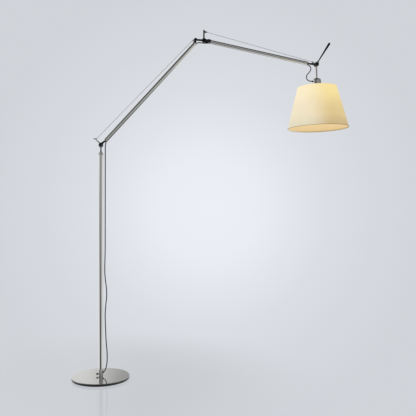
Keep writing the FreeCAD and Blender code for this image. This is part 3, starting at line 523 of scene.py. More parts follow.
def rib_tree():
    """Grip ribs round a knob: half-sunk rods on a circle, joined to the knob."""
    if "Lamp knob ribs" in bpy.data.node_groups:
        return bpy.data.node_groups["Lamp knob ribs"]
    tree, given, out = new_tree("Lamp knob ribs", [
        ("Count", "NodeSocketInt"), ("Radius", "NodeSocketFloat"), ("Rib radius", "NodeSocketFloat"),
        ("Length", "NodeSocketFloat"), ("Middle", "NodeSocketFloat"), ("Material", "NodeSocketMaterial"),
    ])
    circle = add_node(
        tree, "GeometryNodeMeshCircle", {"Vertices": given.outputs["Count"], "Radius": given.outputs["Radius"]})
    rod = add_node(tree, "GeometryNodeMeshCylinder", {
        "Vertices": 10, "Radius": given.outputs["Rib radius"], "Depth": given.outputs["Length"]})
    ribs = add_node(
        tree, "GeometryNodeInstanceOnPoints", {"Points": circle.outputs["Mesh"], "Instance": rod.outputs["Mesh"]})
    lift = add_node(tree, "ShaderNodeCombineXYZ", {"Z": given.outputs["Middle"]})
    moved = add_node(tree, "GeometryNodeTransform", {
        "Geometry": ribs.outputs["Instances"], "Translation": lift.outputs["Vector"]})
    joined = add_node(tree, "GeometryNodeJoinGeometry")
    tree.links.new(given.outputs["Geometry"], joined.inputs["Geometry"])
    tree.links.new(moved.outputs["Geometry"], joined.inputs["Geometry"])
    return end_tree(tree, out, joined.outputs["Geometry"], given.outputs["Material"])


def coil_tree():
    """Wires wound about the Z axis: one for a spring, several for a stranded cable round its core."""
    if "Lamp wound wires" in bpy.data.node_groups:
        return bpy.data.node_groups["Lamp wound wires"]
    tree, given, out = new_tree("Lamp wound wires", [
        ("Wires", "NodeSocketInt"), ("Turns", "NodeSocketFloat"), ("Radius", "NodeSocketFloat"),
        ("Height", "NodeSocketFloat"), ("Wire radius", "NodeSocketFloat"), ("Steps", "NodeSocketInt"),
        ("Sides", "NodeSocketInt"), ("Material", "NodeSocketMaterial"),
    ])
    spiral = add_node(tree, "GeometryNodeCurveSpiral", {
        "Resolution": given.outputs["Steps"], "Rotations": given.outputs["Turns"],
        "Start Radius": given.outputs["Radius"], "End Radius": given.outputs["Radius"],
        "Height": given.outputs["Height"]})
    section = add_node(tree, "GeometryNodeCurvePrimitiveCircle", {
        "Resolution": given.outputs["Sides"], "Radius": given.outputs["Wire radius"]})
    wire = add_node(tree, "GeometryNodeCurveToMesh", {
        "Curve": spiral.outputs["Curve"], "Profile Curve": section.outputs["Curve"], "Fill Caps": True})
    points = add_node(tree, "GeometryNodePoints", {"Count": given.outputs["Wires"]})
    index = add_node(tree, "GeometryNodeInputIndex")
    angle = maths(tree, "MULTIPLY", maths(tree, "DIVIDE", index.outputs[0], given.outputs["Wires"]), math.tau)
    turn = add_node(tree, "ShaderNodeCombineXYZ", {"Z": angle})
    wires = add_node(tree, "GeometryNodeInstanceOnPoints", {
        "Points": points.outputs[0], "Instance": wire.outputs["Mesh"], "Rotation": turn.outputs["Vector"]})
    joined = add_node(tree, "GeometryNodeJoinGeometry")
    tree.links.new(given.outputs["Geometry"], joined.inputs["Geometry"])
    tree.links.new(wires.outputs["Instances"], joined.inputs["Geometry"])
    return end_tree(tree, out, joined.outputs["Geometry"], given.outputs["Material"])


# ---------------------------------------------------------------- stage

CAMERA_PLACE = Vector((-0.274, -3.640, 1.057))
CAMERA_YAW = math.radians(14.98)
CAMERA_RISE = math.radians(0.273)
LENS_MM = 49.18
CAMERA_AHEAD = Vector((math.sin(CAMERA_YAW), math.cos(CAMERA_YAW), math.tan(CAMERA_RISE))).normalized()
FLOOR_RADIUS = 2.4
FLOOR_LIT_SHARE = 0.16
FLOOR_SHEEN_SHARE = 0.13
# A dark leaning strip in the reflected studio: its lean, its turn, its half width and how that narrows upwards.
STAND_LEAN = 3.77
STAND_TURN = 0.92
STAND_HALF_WIDTH = 0.27
STAND_TAPER = 0.85


class LAMP_OT_stage(bpy.types.Operator):
    """Set the camera, the floor and the soft studio light"""
    bl_idname = "lamp.stage"
    bl_label = "Stage"

    def execute(self, context):
        scene = context.scene
        scene.view_settings.view_transform = "Standard"
        data = bpy.data.cameras.new("camera")
        data.lens = LENS_MM
        data.clip_end = 100
        camera = linked("camera", data)
        camera.location = CAMERA_PLACE
        camera.rotation_euler = (math.pi / 2 + CAMERA_RISE, 0, -CAMERA_YAW)
        scene.camera = camera
        self.make_floor(context)
        self.make_world(context)
        self.make_lights(context)
        return {"FINISHED"}

    def make_floor(self, context):
        """A pale floor with a faint gloss, fading into the backdrop round its edge; it mostly glows with the
        backdrop's painted light, lighter where the camera looks.
        """
        mesh = bpy.data.meshes.new("floor")
        build = bmesh.new()
        bmesh.ops.create_circle(build, cap_ends=True, radius=FLOOR_RADIUS, segments=96)
        build.to_mesh(mesh)
        build.free()
        floor = linked("floor", mesh)
        material, tree, shader = new_material("studio_floor")
        place = add_node(tree, "ShaderNodeTexCoord").outputs["Object"]
        sight = add_node(
            tree, "ShaderNodeVectorMath", {0: place, 1: tuple(CAMERA_PLACE)}, operation="SUBTRACT").outputs[0]
        sight = add_node(tree, "ShaderNodeVectorMath", {0: sight}, operation="NORMALIZE").outputs[0]
        colour = self.backdrop(context, tree, sight)
        # Painted light: the floor glows with the backdrop's fall-off instead of being lit.
        glow = add_node(tree, "ShaderNodeEmission", {"Color": colour, "Strength": 1.0}).outputs[0]
        tree.links.new(colour, shader.inputs["Base Color"])
        shader.inputs["Roughness"].default_value = 0.6
        lit = add_node(
            tree, "ShaderNodeMixShader", {0: FLOOR_LIT_SHARE, 1: glow, 2: shader.outputs["BSDF"]}).outputs[0]
        sheen = add_node(tree, "ShaderNodeBsdfGlossy", {"Color": (1, 1, 1, 1), "Roughness": 0.06}).outputs[0]
        lit = add_node(tree, "ShaderNodeMixShader", {0: FLOOR_SHEEN_SHARE, 1: lit, 2: sheen}).outputs[0]
        reach = add_node(tree, "ShaderNodeVectorMath", {0: place}, operation="LENGTH").outputs["Value"]
        edge = ramp(tree, maths(tree, "DIVIDE", reach, FLOOR_RADIUS), [(0.16, 0.0), (0.62, 1.0)], "EASE")
        clear = add_node(tree, "ShaderNodeBsdfTransparent").outputs[0]
        faded = add_node(tree, "ShaderNodeMixShader", {0: edge, 1: lit, 2: clear}).outputs[0]
        tree.links.new(faded, tree.nodes["Material Output"].inputs["Surface"])
        mesh.materials.append(material)
        floor.visible_glossy = False

    def backdrop(self, context, tree, sight):
        """The backdrop's colour along a direction: painted light that is lighter where the camera looks and darker
        towards the sides.
        """
        near = spread(tree, toward(tree, sight, CAMERA_AHEAD), 0.93, 1.0)
        level = ramp(tree, near, [
            (0.0, 0.63), (0.43, 0.665), (0.686, 0.70), (0.843, 0.755), (0.943, 0.81), (1.0, 0.83)])
        return mix_colour(tree, 1.0, level, tuple(context.scene.lamp_colours.backdrop), "MULTIPLY")

    def make_world(self, context):
        """The backdrop to the eye, and for reflections a studio with bright sides and a dark ceiling."""
        world = bpy.data.worlds.new("studio")
        context.scene.world = world
        world.use_nodes = True
        tree = world.node_tree
        tree.nodes.clear()
        place = add_node(tree, "ShaderNodeTexCoord").outputs["Generated"]
        rise = add_node(tree, "ShaderNodeSeparateXYZ", {"Vector": place}).outputs["Z"]
        back = Vector((-math.sin(CAMERA_YAW), -math.cos(CAMERA_YAW), 0))
        right = Vector((math.cos(CAMERA_YAW), -math.sin(CAMERA_YAW), 0))
        turn = maths(tree, "ARCTAN2", toward(tree, place, right), toward(tree, place, back))
        around = spread(tree, turn, -math.pi, math.pi)
        height = spread(tree, rise, -1.0, 1.0)
        walls = ramp(tree, around, [
            (0.0, 0.33), (0.020, 0.40), (0.036, 0.76), (0.15, 1.0), (0.25, 0.95), (0.35, 0.70), (0.45, 0.40),
            (0.49, 0.28), (0.53, 0.26), (0.59, 0.36), (0.667, 0.62), (0.76, 1.0), (0.85, 1.05),
            (0.95, 0.80), (1.0, 0.33)])
        upper = ramp(tree, around, [
            (0.0, 0.33), (0.020, 0.40), (0.036, 0.76), (0.19, 1.0), (0.27, 0.95), (0.31, 0.16),
            (0.40, 0.12), (0.47, 0.22), (0.56, 0.34), (0.62, 0.30), (0.72, 0.22), (0.80, 0.22),
            (0.90, 0.55), (1.0, 0.33)])
        lifted = ramp(tree, height, [(0.55, 0.0), (0.59, 1.0)])
        room = add_node(tree, "ShaderNodeMix", {0: lifted, 2: walls, 3: upper}).outputs[0]
        box_around = ramp(tree, around, [(0.52, 0.0), (0.545, 0.75), (0.61, 0.75), (0.64, 0.0)])
        box_height = ramp(tree, height, [(0.55, 0.0), (0.57, 1.0), (0.60, 1.0), (0.62, 0.0)])
        room = maths(tree, "MAXIMUM", room, maths(tree, "MULTIPLY", box_around, box_height))
        ceiling = ramp(tree, height, [(0.78, 1.0), (0.87, 0.35), (0.92, 0.12), (1.0, 0.08)])
        room = maths(tree, "MULTIPLY", room, ceiling)
        ground = ramp(tree, height, [(0.13, 0.0), (0.20, 1.0), (0.29, 1.0), (0.37, 0.0)])
        room = add_node(tree, "ShaderNodeMix", {0: ground, 2: room, 3: 0.12}).outputs[0]
        fall = maths(tree, "MULTIPLY", rise, STAND_LEAN)
        off_stand = maths(tree, "ABSOLUTE", maths(tree, "ADD", maths(tree, "ADD", turn, fall), STAND_TURN))
        half_width = maths(
            tree, "SUBTRACT", STAND_HALF_WIDTH, maths(tree, "MULTIPLY", rise, STAND_TAPER))
        stand = ramp(tree, maths(tree, "DIVIDE", off_stand, half_width), [(0.55, 1.0), (0.95, 0.0)])
        stand_height = ramp(tree, height, [(0.29, 0.0), (0.35, 1.0), (0.49, 0.9), (0.53, 0.5), (0.555, 0.0)])
        shadow = maths(tree, "SUBTRACT", 1.0, maths(tree, "MULTIPLY", stand, stand_height))
        room = maths(tree, "MULTIPLY", room, shadow)
        seen = add_node(tree, "ShaderNodeBackground", {"Color": self.backdrop(context, tree, place)})
        soft = add_node(tree, "ShaderNodeBackground", {"Color": (0.95, 0.97, 1.0, 1), "Strength": 0.55})
        gloss = add_node(tree, "ShaderNodeBackground", {"Color": room, "Strength": 1.0})
        path = add_node(tree, "ShaderNodeLightPath")
        first = add_node(tree, "ShaderNodeMixShader", {
            0: path.outputs["Is Glossy Ray"], 1: soft.outputs[0], 2: gloss.outputs[0]})
        second = add_node(tree, "ShaderNodeMixShader", {
            0: path.outputs["Is Camera Ray"], 1: first.outputs[0], 2: seen.outputs[0]})
        output = add_node(tree, "ShaderNodeOutputWorld")
        tree.links.new(second.outputs[0], output.inputs["Surface"])

    def make_lights(self, context):
        """Two soft boxes: the key from the front left and a weaker one from the right."""
        for name, place, size, power in (
            ("key", (-2.6, -3.2, 2.6), (1.6, 2.4), 45), ("fill", (3.6, -2.0, 1.9), (1.2, 2.2), 12),
        ):
            data = bpy.data.lights.new(name, "AREA")
            data.shape = "RECTANGLE"
            data.size, data.size_y = size
            data.energy = power
            light = linked(name, data)
            light.location = place
            aim = Vector((0.6, 0, 1.4)) - Vector(place)
            light.rotation_euler = aim.to_track_quat("-Z", "Y").to_euler()
            light.visible_glossy = False


# ---------------------------------------------------------------- cords

POLE_CORD_UPPER = [(33.6, 0, 1497), (29.6, 0, 1484), (27.3, 0, 1466), (27.2, 0, 1449)]
POLE_CORD_LOWER = [
    (27.2, 0, 1448.9), (27.05, 0, 865), (27, 0, 800), (25.4, 0, 735), (24, 0, 672), (29, 0, 612),
    (36.6, 0, 560), (36.8, 0, 510), (30.8, 0, 460), (27, 0, 408), (27.8, 0, 358), (30.2, 0, 306),
    (32, 0, 254), (35.4, 0, 206), (39.6, 0, 164), (40.6, 0, 124), (38.6, 0, 92), (33.6, 0, 66),
    (26.6, 0, 49), (18.2, 0, 38.5),
]
ELBOW_CORD_LOWER = [
    (619.2, 0, 2157.2), (625.4, 0, 2164.2), (634.2, 0, 2168.2), (645.2, 0, 2168), (656, 0, 2167.8),
]
ELBOW_CORD_UPPER = [
    (656.1, 0, 2167.8), (666.5, 0, 2167.5), (678, 0, 2167.4), (690, 0, 2168), (700, 0, 2170.5), (708.5, 0, 2174),
]
HEAD_CORD = [
    (1417, 0, 2072.6), (1428.6, 0, 2069.7), (1438.1, 0, 2062.3), (1443, 0, 2051.3), (1442.4, 0, 2039.3),
    (1436.6, 0, 2028.8), (1428.1, 0, 2019), (1418.5, 0, 2008.8), (1411.2, 0, 1998), (1408.5, 0, 1986.3),
    (1411.4, 0, 1974.7), (1419.4, 0, 1965.8), (1430.5, 0, 1961.3), (1441.5, 0, 1960), (1451, 0, 1959.95),
]
SWIVEL_ZONE = ((27.2, 0, 1440), (27, 0, 800))
CORD_RADIUS = 3.25 * MM


def smooth_line(name, route):
    """Points of the smooth NURBS line through a cord's route, given in millimetres."""
    curve = bpy.data.curves.new(name + "_line", "CURVE")
    curve.dimensions = "3D"
    spline = curve.splines.new("NURBS")
    spline.points.add(len(route) - 1)
    for point, place in zip(spline.points, route):
        point.co = (*(Vector(place) * MM), 1)
    spline.order_u = 3
    spline.use_endpoint_u = True
    spline.resolution_u = 8
    line = baked(linked(name + "_line", curve))
    return [v.co.copy() for v in line.vertices]


def tube_along(name, line, radius, sides):
    """A round tube along a line, closed at both ends, with U round it and V along it."""
    mesh = bpy.data.meshes.new(name)
    build = bmesh.new()
    uv = build.loops.layers.uv.new("along")
    rings = []
    lengths = [0.0]
    side = Vector((0, -1, 0))
    for number, point in enumerate(line):
        ahead = line[min(number + 1, len(line) - 1)] - line[max(number - 1, 0)]
        forward = ahead.normalized()
        side = (side - forward * side.dot(forward)).normalized()
        across = forward.cross(side)
        rings.append([
            build.verts.new(point + radius * (math.cos(a) * side + math.sin(a) * across))
            for a in (math.tau * step / sides for step in range(sides))
        ])
        if number:
            lengths.append(lengths[-1] + (point - line[number - 1]).length)
    for row in range(len(rings) - 1):
        for step in range(sides):
            after = (step + 1) % sides
            low, high = rings[row], rings[row + 1]
            face = build.faces.new((low[step], low[after], high[after], high[step]))
            face.smooth = True
            for loop, (around, along) in zip(face.loops, ((0, 0), (1, 0), (1, 1), (0, 1))):
                loop[uv].uv = ((step + around) / sides, lengths[row + along])
    build.faces.new(list(reversed(rings[0])))
    build.faces.new(rings[-1])
    bmesh.ops.recalc_face_normals(build, faces=build.faces)
    build.to_mesh(mesh)
    build.free()
    return mesh


class LAMP_OT_cords(bpy.types.Operator):
    """Lay the flexible cord beside the pole, under the elbow and at the head"""
    bl_idname = "lamp.cords"
    bl_label = "Cords"

    def execute(self, context):
        self.lay("pole_cord_top", POLE_CORD_UPPER, "pole_cord_upper", ("lower_arm", "swivel"),
                 (POLE_CORD_UPPER[0], POLE_CORD_UPPER[-1]), "hanging")
        self.lay("pole_cord_run", POLE_CORD_LOWER, "pole_cord_lower", ("swivel", "base"),
                 SWIVEL_ZONE, "hanging")
        self.lay("elbow_cord_low", ELBOW_CORD_LOWER, "elbow_cord_lower", ("lower_arm", "elbow_link"),
                 (ELBOW_CORD_LOWER[0], ELBOW_CORD_LOWER[-1]), "taut")
        self.lay("elbow_cord_high", ELBOW_CORD_UPPER, "elbow_cord_upper", ("elbow_link", "upper_arm"),
                 (ELBOW_CORD_UPPER[0], ELBOW_CORD_UPPER[-1]), "taut")
        self.lay("head_cord_loop", HEAD_CORD, "head_cord", ("upper_arm", "head"),
                 (HEAD_CORD[1], HEAD_CORD[-2]), "loose")
        return {"FINISHED"}

    def lay(self, name, route, node, bodies, zone, lay):
        """One length of the cord, a round tube along its route; the bodies and the zone are not used."""
        line = smooth_line(name, route)
        mesh = tube_along(name, line, CORD_RADIUS, bpy.context.scene.lamp_sizes.cord_sides)
        mesh.materials.append(finishes()["cord_grey"])
        piece = linked(name, mesh)
        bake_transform(piece)
        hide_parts(node)


# ---------------------------------------------------------------- base, pole and arms

BASE_SEGMENTS = 192


class LAMP_OT_base(bpy.types.Operator):
    """Turn the base cover, the pole and what is fixed to them"""
    bl_idname = "lamp.base"
    bl_label = "Base and pole"

    def execute(self, context):
        sizes = context.scene.lamp_sizes
        low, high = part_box("base_cover")
        radius = high.x
        wall = 2 * MM
        sharp_lip = 0.5 * MM
        pole_low, pole_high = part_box("pole")
        pole_radius = pole_high.x
        cover = [(radius - wall, low.z), (radius - sharp_lip, low.z), (radius, low.z + sharp_lip)]
        cover += edge_round(radius, high.z, sizes.base_edge, 6)
        cover += [(pole_radius - wall, high.z), (pole_radius - wall, high.z - wall),
                  (radius - wall, high.z - wall)]
        mesh = turned_mesh("base_cover_turned", cover, Matrix(), BASE_SEGMENTS)
        mesh.materials.append(finishes()["base_aluminium"])
        # The cover's side faces are painted near-black: a painted dark reflection of the floor below the horizon
        # in the polished side.
        mesh.materials.append(finishes()["base_rim"])
        for face in mesh.polygons:
            low_down = face.center.z < high.z - sizes.base_edge * 1.01
            face.material_index = int(low_down and abs(face.normal.z) < 0.9)
        add_piece("base_cover_turned", mesh, "base", "base_aluminium", ["base_cover"])

        bore = pole_radius - wall
        edge = sizes.tube_edge
        pole = [(bore, pole_low.z), (pole_radius - edge, pole_low.z), (pole_radius, pole_low.z + edge),
                (pole_radius, pole_high.z - edge), (pole_radius - edge, pole_high.z), (bore, pole_high.z)]
        turned_piece("pole_tube", pole, Matrix(), "base", "tube_aluminium", ["pole"])

        cap_low, cap_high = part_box("pole_end_cap")
        top = cap_high.z
        cap = [(7 * MM, cap_low.z), (12.9 * MM, cap_low.z), (12.9 * MM, pole_high.z),
               (pole_radius, pole_high.z), (pole_radius, pole_high.z + 1.5 * MM),
               (13.5 * MM, top - 10.5 * MM), (12 * MM, top - 5.6 * MM), (11.2 * MM, top - 3.6 * MM),
               (9.4 * MM, top - 1.6 * MM), (7.8 * MM, top - 0.3 * MM), (7.5 * MM, top), (7 * MM, top)]
        add_piece("pole_cap_turned", turned_mesh("pole_cap_turned", cap, Matrix()), "base", "tube_aluminium",
                  ["pole_end_cap"], finishes()["cap_satin"])
        return {"FINISHED"}


class LAMP_OT_arms(bpy.types.Operator):
    """Draw the two arm tubes with their springs and tension cables"""
    bl_idname = "lamp.arms"
    bl_label = "Arm tubes"

    def execute(self, context):
        for arm in ("lower_arm", "upper_arm"):
            self.tube(context, arm)
            self.spring(arm)
        self.cable("lower_arm", "swivel")
        self.cable("upper_arm", "elbow_link")
        return {"FINISHED"}

    def tube(self, context, arm):
        """A drawn tube with chamfered ends."""
        start, end, radius = axis_of(arm + "_tube")
        length = (end - start).length
        edge = context.scene.lamp_sizes.tube_edge
        bore = radius - 1.5 * MM
        profile = [(bore, 0), (radius - edge, 0), (radius, edge), (radius, length - edge),
                   (radius - edge, length), (bore, length)]
        turned_piece(arm + "_drawn_tube", profile, frame_at(start, end - start), arm, "tube_aluminium",
                     [arm + "_tube"])

    def spring(self, arm):
        """The coiled spring inside an arm's tube."""
        start, end, _ = axis_of(arm + "_inner_lead")
        points = vertices_of(arm + "_spring")
        along = (end - start).normalized()
        heights = (points - np.array(start)) @ np.array(along)
        middle = Vector(points.mean(0))
        first = middle + along * (heights.min() - (middle - start).dot(along))
        length = float(heights.max() - heights.min())
        mesh = with_tree(arm, bpy.data.meshes.new(arm + "_spring_wire"), coil_tree(), {
            "Wires": 1, "Turns": 30.0, "Radius": 5 * MM, "Height": length - 2 * MM, "Wire radius": 1 * MM,
            "Steps": 20, "Sides": 8, "Material": finishes()["spring_steel"]})
        mesh.transform(frame_at(first + along * MM, along))
        add_piece(arm + "_spring_coil", mesh, arm, "spring_steel", [arm + "_spring"])

    def cable(self, arm, horn_body):
        """A stranded cable with its ferrules, laid straight along the CAD cable; horn_body is not used."""
        sizes = bpy.context.scene.lamp_sizes
        start, end, _ = axis_of(arm + "_cable")
        length = (end - start).length
        core = 0.85 * MM
        place = frame_at(start, end - start)
        ferrule = 10 * MM
        rows = 160
        middle = [(core, ferrule + (length - 2 * ferrule) * row / rows) for row in range(rows + 1)]
        ends = turned_mesh(arm + "_ferrules", [
            (0, 0), (1.9 * MM, 0), (2.3 * MM, 0.5 * MM), (2.3 * MM, ferrule - 2 * MM), (1.1 * MM, ferrule),
            *middle, (1.1 * MM, length - ferrule),
            (2.2 * MM, length - ferrule + 2 * MM), (2.2 * MM, length), (0, length),
        ], Matrix(), 16, closed=False)
        turns = (length - 2 * ferrule) / sizes.cable_lay
        mesh = with_tree(arm + "_cable", ends, coil_tree(), {
            "Wires": sizes.cable_strands, "Turns": turns, "Radius": 0.86 * MM, "Height": length,
            "Wire radius": 0.34 * MM, "Steps": 9, "Sides": 5, "Material": finishes()["cable_steel"]})
        mesh.transform(place)
        piece = linked(arm + "_strand", mesh)
        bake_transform(piece)
        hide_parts(arm + "_cable")


# ---------------------------------------------------------------- fittings and knobs

FITTINGS = [
    ("shoulder_bracket", "swivel", "grey_metal", "grey_metal"),
    ("lower_arm_root_fork", "lower_arm", "black_metal", "black_metal"),
    ("lower_arm_tip", "lower_arm", "black_metal", "black_metal"),
    ("lower_arm_cable_lug", "lower_arm", "grey_metal", "tube_aluminium"),
    ("elbow_link", "elbow_link", "black_metal", "black_metal"),
    ("elbow_lever", "elbow_link", "black_metal", "black_metal"),
    ("upper_arm_root_yoke", "upper_arm", "black_metal", "black_metal"),
    ("upper_arm_tip", "upper_arm", "black_metal", "black_metal"),
    ("upper_arm_cable_lug", "upper_arm", "grey_metal", "grey_metal"),
    ("head_hub", "head", "grey_metal", "black_metal"),
]
BRIGHT_ENDS = {
    "lower_arm_root_fork": (SHOULDER, "lower_arm_tube", 38 * MM),
    "upper_arm_root_yoke": (ELBOW_HIGH, "upper_arm_tube", 29 * MM),
    "head_hub": (HEAD, "shade_stem", 17.6 * MM),
}


class LAMP_OT_fittings(bpy.types.Operator):
    """Round the edges of the cast forks, brackets, levers and lugs"""
    bl_idname = "lamp.fittings"
    bl_label = "Cast fittings"

    def execute(self, context):
        for node, body, slot, finish in FITTINGS:
            mesh = softened_mesh(node, context.scene.lamp_sizes.casting_edge)
            mesh.materials.append(finishes()[finish])
            if node in BRIGHT_ENDS:
                hinge, tube, reach = BRIGHT_ENDS[node]
                start, end, _ = axis_of(tube)
                along = ((start + end) / 2 - hinge).normalized()
                mesh.materials.append(finishes()["tube_aluminium"])
                for face in mesh.polygons:
                    face.material_index = int((face.center - hinge).dot(along) > reach)
            add_piece(node + "_casting", mesh, body, slot, [node])
        return {"FINISHED"}


KNOBS = [
    ("shoulder_knob", SHOULDER), ("elbow_lower_knob", ELBOW_LOW), ("elbow_upper_knob", ELBOW_HIGH),
    ("head_knob", HEAD),
]


class LAMP_OT_knobs(bpy.types.Operator):
    """Mould the ribbed clamp knobs"""
    bl_idname = "lamp.knobs"
    bl_label = "Knobs"

    def execute(self, context):
        for node, hinge in KNOBS:
            low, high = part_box(node)
            self.knob(context, node, node, Vector((hinge.x, low.y, hinge.z)), -NEAR, (high.z - low.z) / 2,
                      high.y - low.y)
        low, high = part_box("foot_lock_knob")
        middle = (low + high) / 2
        self.knob(context, "foot_lock_knob", "foot_knob", Vector((low.x, 0, middle.z)), Vector((1, 0, 0)),
                  (high.y - low.y) / 2, high.x - low.x, 8 * MM)
        return {"FINISHED"}

    def knob(self, context, node, body, origin, direction, radius, length, screw=6 * MM):
        """A knob whose crown is at origin and whose screw lies along direction."""
        sizes = context.scene.lamp_sizes
        rib = sizes.rib_radius
        grip = length - screw
        side = radius - 0.7 * rib
        profile = [
            (0, 0.8 * MM), (side * 0.45, 0.6 * MM), (side * 0.62, 0), (side * 0.86, 0), (side * 0.97, 0.5 * MM),
            (side, 1.5 * MM), (side, grip - 1.2 * MM), (side * 0.95, grip - 0.4 * MM), (side * 0.8, grip),
            (1.5 * MM, grip), (1.5 * MM, length - 0.3 * MM), (1.2 * MM, length), (0, length),
        ]
        mesh = with_tree(node, turned_mesh(node, profile, Matrix(), 40, closed=False), rib_tree(), {
            "Count": sizes.knob_ribs, "Radius": side - 0.3 * rib, "Rib radius": rib,
            "Length": grip - 3.2 * MM, "Middle": grip / 2, "Material": finishes()["black_plastic"]})
        mesh.set_sharp_from_angle(angle=SHARP_ANGLE)
        mesh.transform(frame_at(origin, direction, UP))
        add_piece(node + "_moulded", mesh, body, "black_plastic", [node])


# ---------------------------------------------------------------- head and shade

def head_axis():
    """The head's own downward direction, along the shade's stem."""
    start, end, _ = axis_of("shade_stem")
    down = (start - end).normalized()
    return down if down.z < 0 else -down


def glow_material(name, inside):
    """Laminated parchment: clouds and fibres by daylight, and a painted glow: lamplight from within, and on the
    outside a whiter left side painted for the key light from the left.
    """
    if name in bpy.data.materials:
        return bpy.data.materials[name]
    colours = bpy.context.scene.lamp_colours
    material, tree, shader = new_material(name)
    place = add_node(tree, "ShaderNodeTexCoord").outputs["Object"]
    cloud = add_node(tree, "ShaderNodeTexNoise", {"Vector": place, "Scale": 14.0, "Detail": 5.0}).outputs["Fac"]
    fibre_place = add_node(tree, "ShaderNodeMapping", {"Vector": place, "Scale": (420.0, 420.0, 60.0)})
    fibre = add_node(
        tree, "ShaderNodeTexNoise",
        {"Vector": fibre_place.outputs["Vector"], "Scale": 1.0, "Detail": 4.0, "Distortion": 1.2},
    ).outputs["Fac"]
    tone = mix_colour(
        tree, ramp(tree, cloud, [(0.35, 0.0), (0.65, 1.0)]),
        tuple(c * 0.94 for c in colours.parchment), tuple(min(c * 1.04, 1) for c in colours.parchment))
    tone = mix_colour(tree, ramp(tree, fibre, [(0.45, 0.10), (0.7, 0.0)]), tone, (0.55, 0.43, 0.25))
    tree.links.new(tone, shader.inputs["Base Color"])
    shader.inputs["Roughness"].default_value = 0.62
    shader.inputs["Sheen Weight"].default_value = 0.15
    low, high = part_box("shade")
    spots = add_node(tree, "ShaderNodeSeparateXYZ", {"Vector": place}).outputs
    rise = spread(tree, spots["Z"], low.z, high.z)
    aside = spread(tree, spots["X"], low.x, high.x)
    # Painted light: the emission paints the lamplight through the parchment, brighter towards the top.
    if inside:
        left = right = ramp(tree, rise, [
            (0.0, (0.58, 0.40, 0.18)), (0.35, (0.72, 0.52, 0.24)), (0.75, (0.95, 0.76, 0.42)),
            (1.0, (0.9, 0.68, 0.34))], "EASE")
    else:
        left = ramp(tree, rise, [
            (0.0, (0.58, 0.52, 0.36)), (0.35, (0.70, 0.60, 0.41)), (0.9, (0.80, 0.68, 0.43))], "EASE")
        right = ramp(tree, rise, [
            (0.0, (0.39, 0.25, 0.06)), (0.35, (0.56, 0.39, 0.11)), (0.9, (0.75, 0.58, 0.18))], "EASE")
    # Painted key light: the outside is whiter on the left, where the key light falls, and yellower and darker to
    # the right.
    light = mix_colour(tree, ramp(tree, aside, [(0.12, 0.0), (0.54, 1.0)], "EASE"), left, right)
    mottled = mix_colour(tree, ramp(tree, fibre, [(0.4, 0.08), (0.65, 0.0)]), light, (0.2, 0.13, 0.05))
    tree.links.new(mottled, shader.inputs["Emission Color"])
    shader.inputs["Emission Strength"].default_value = 1.0
    relief = add_node(tree, "ShaderNodeBump", {"Strength": 0.12, "Distance": 0.0004, "Height": fibre})
    tree.links.new(relief.outputs["Normal"], shader.inputs["Normal"])
    return material


SHADE_SEGMENTS = 192


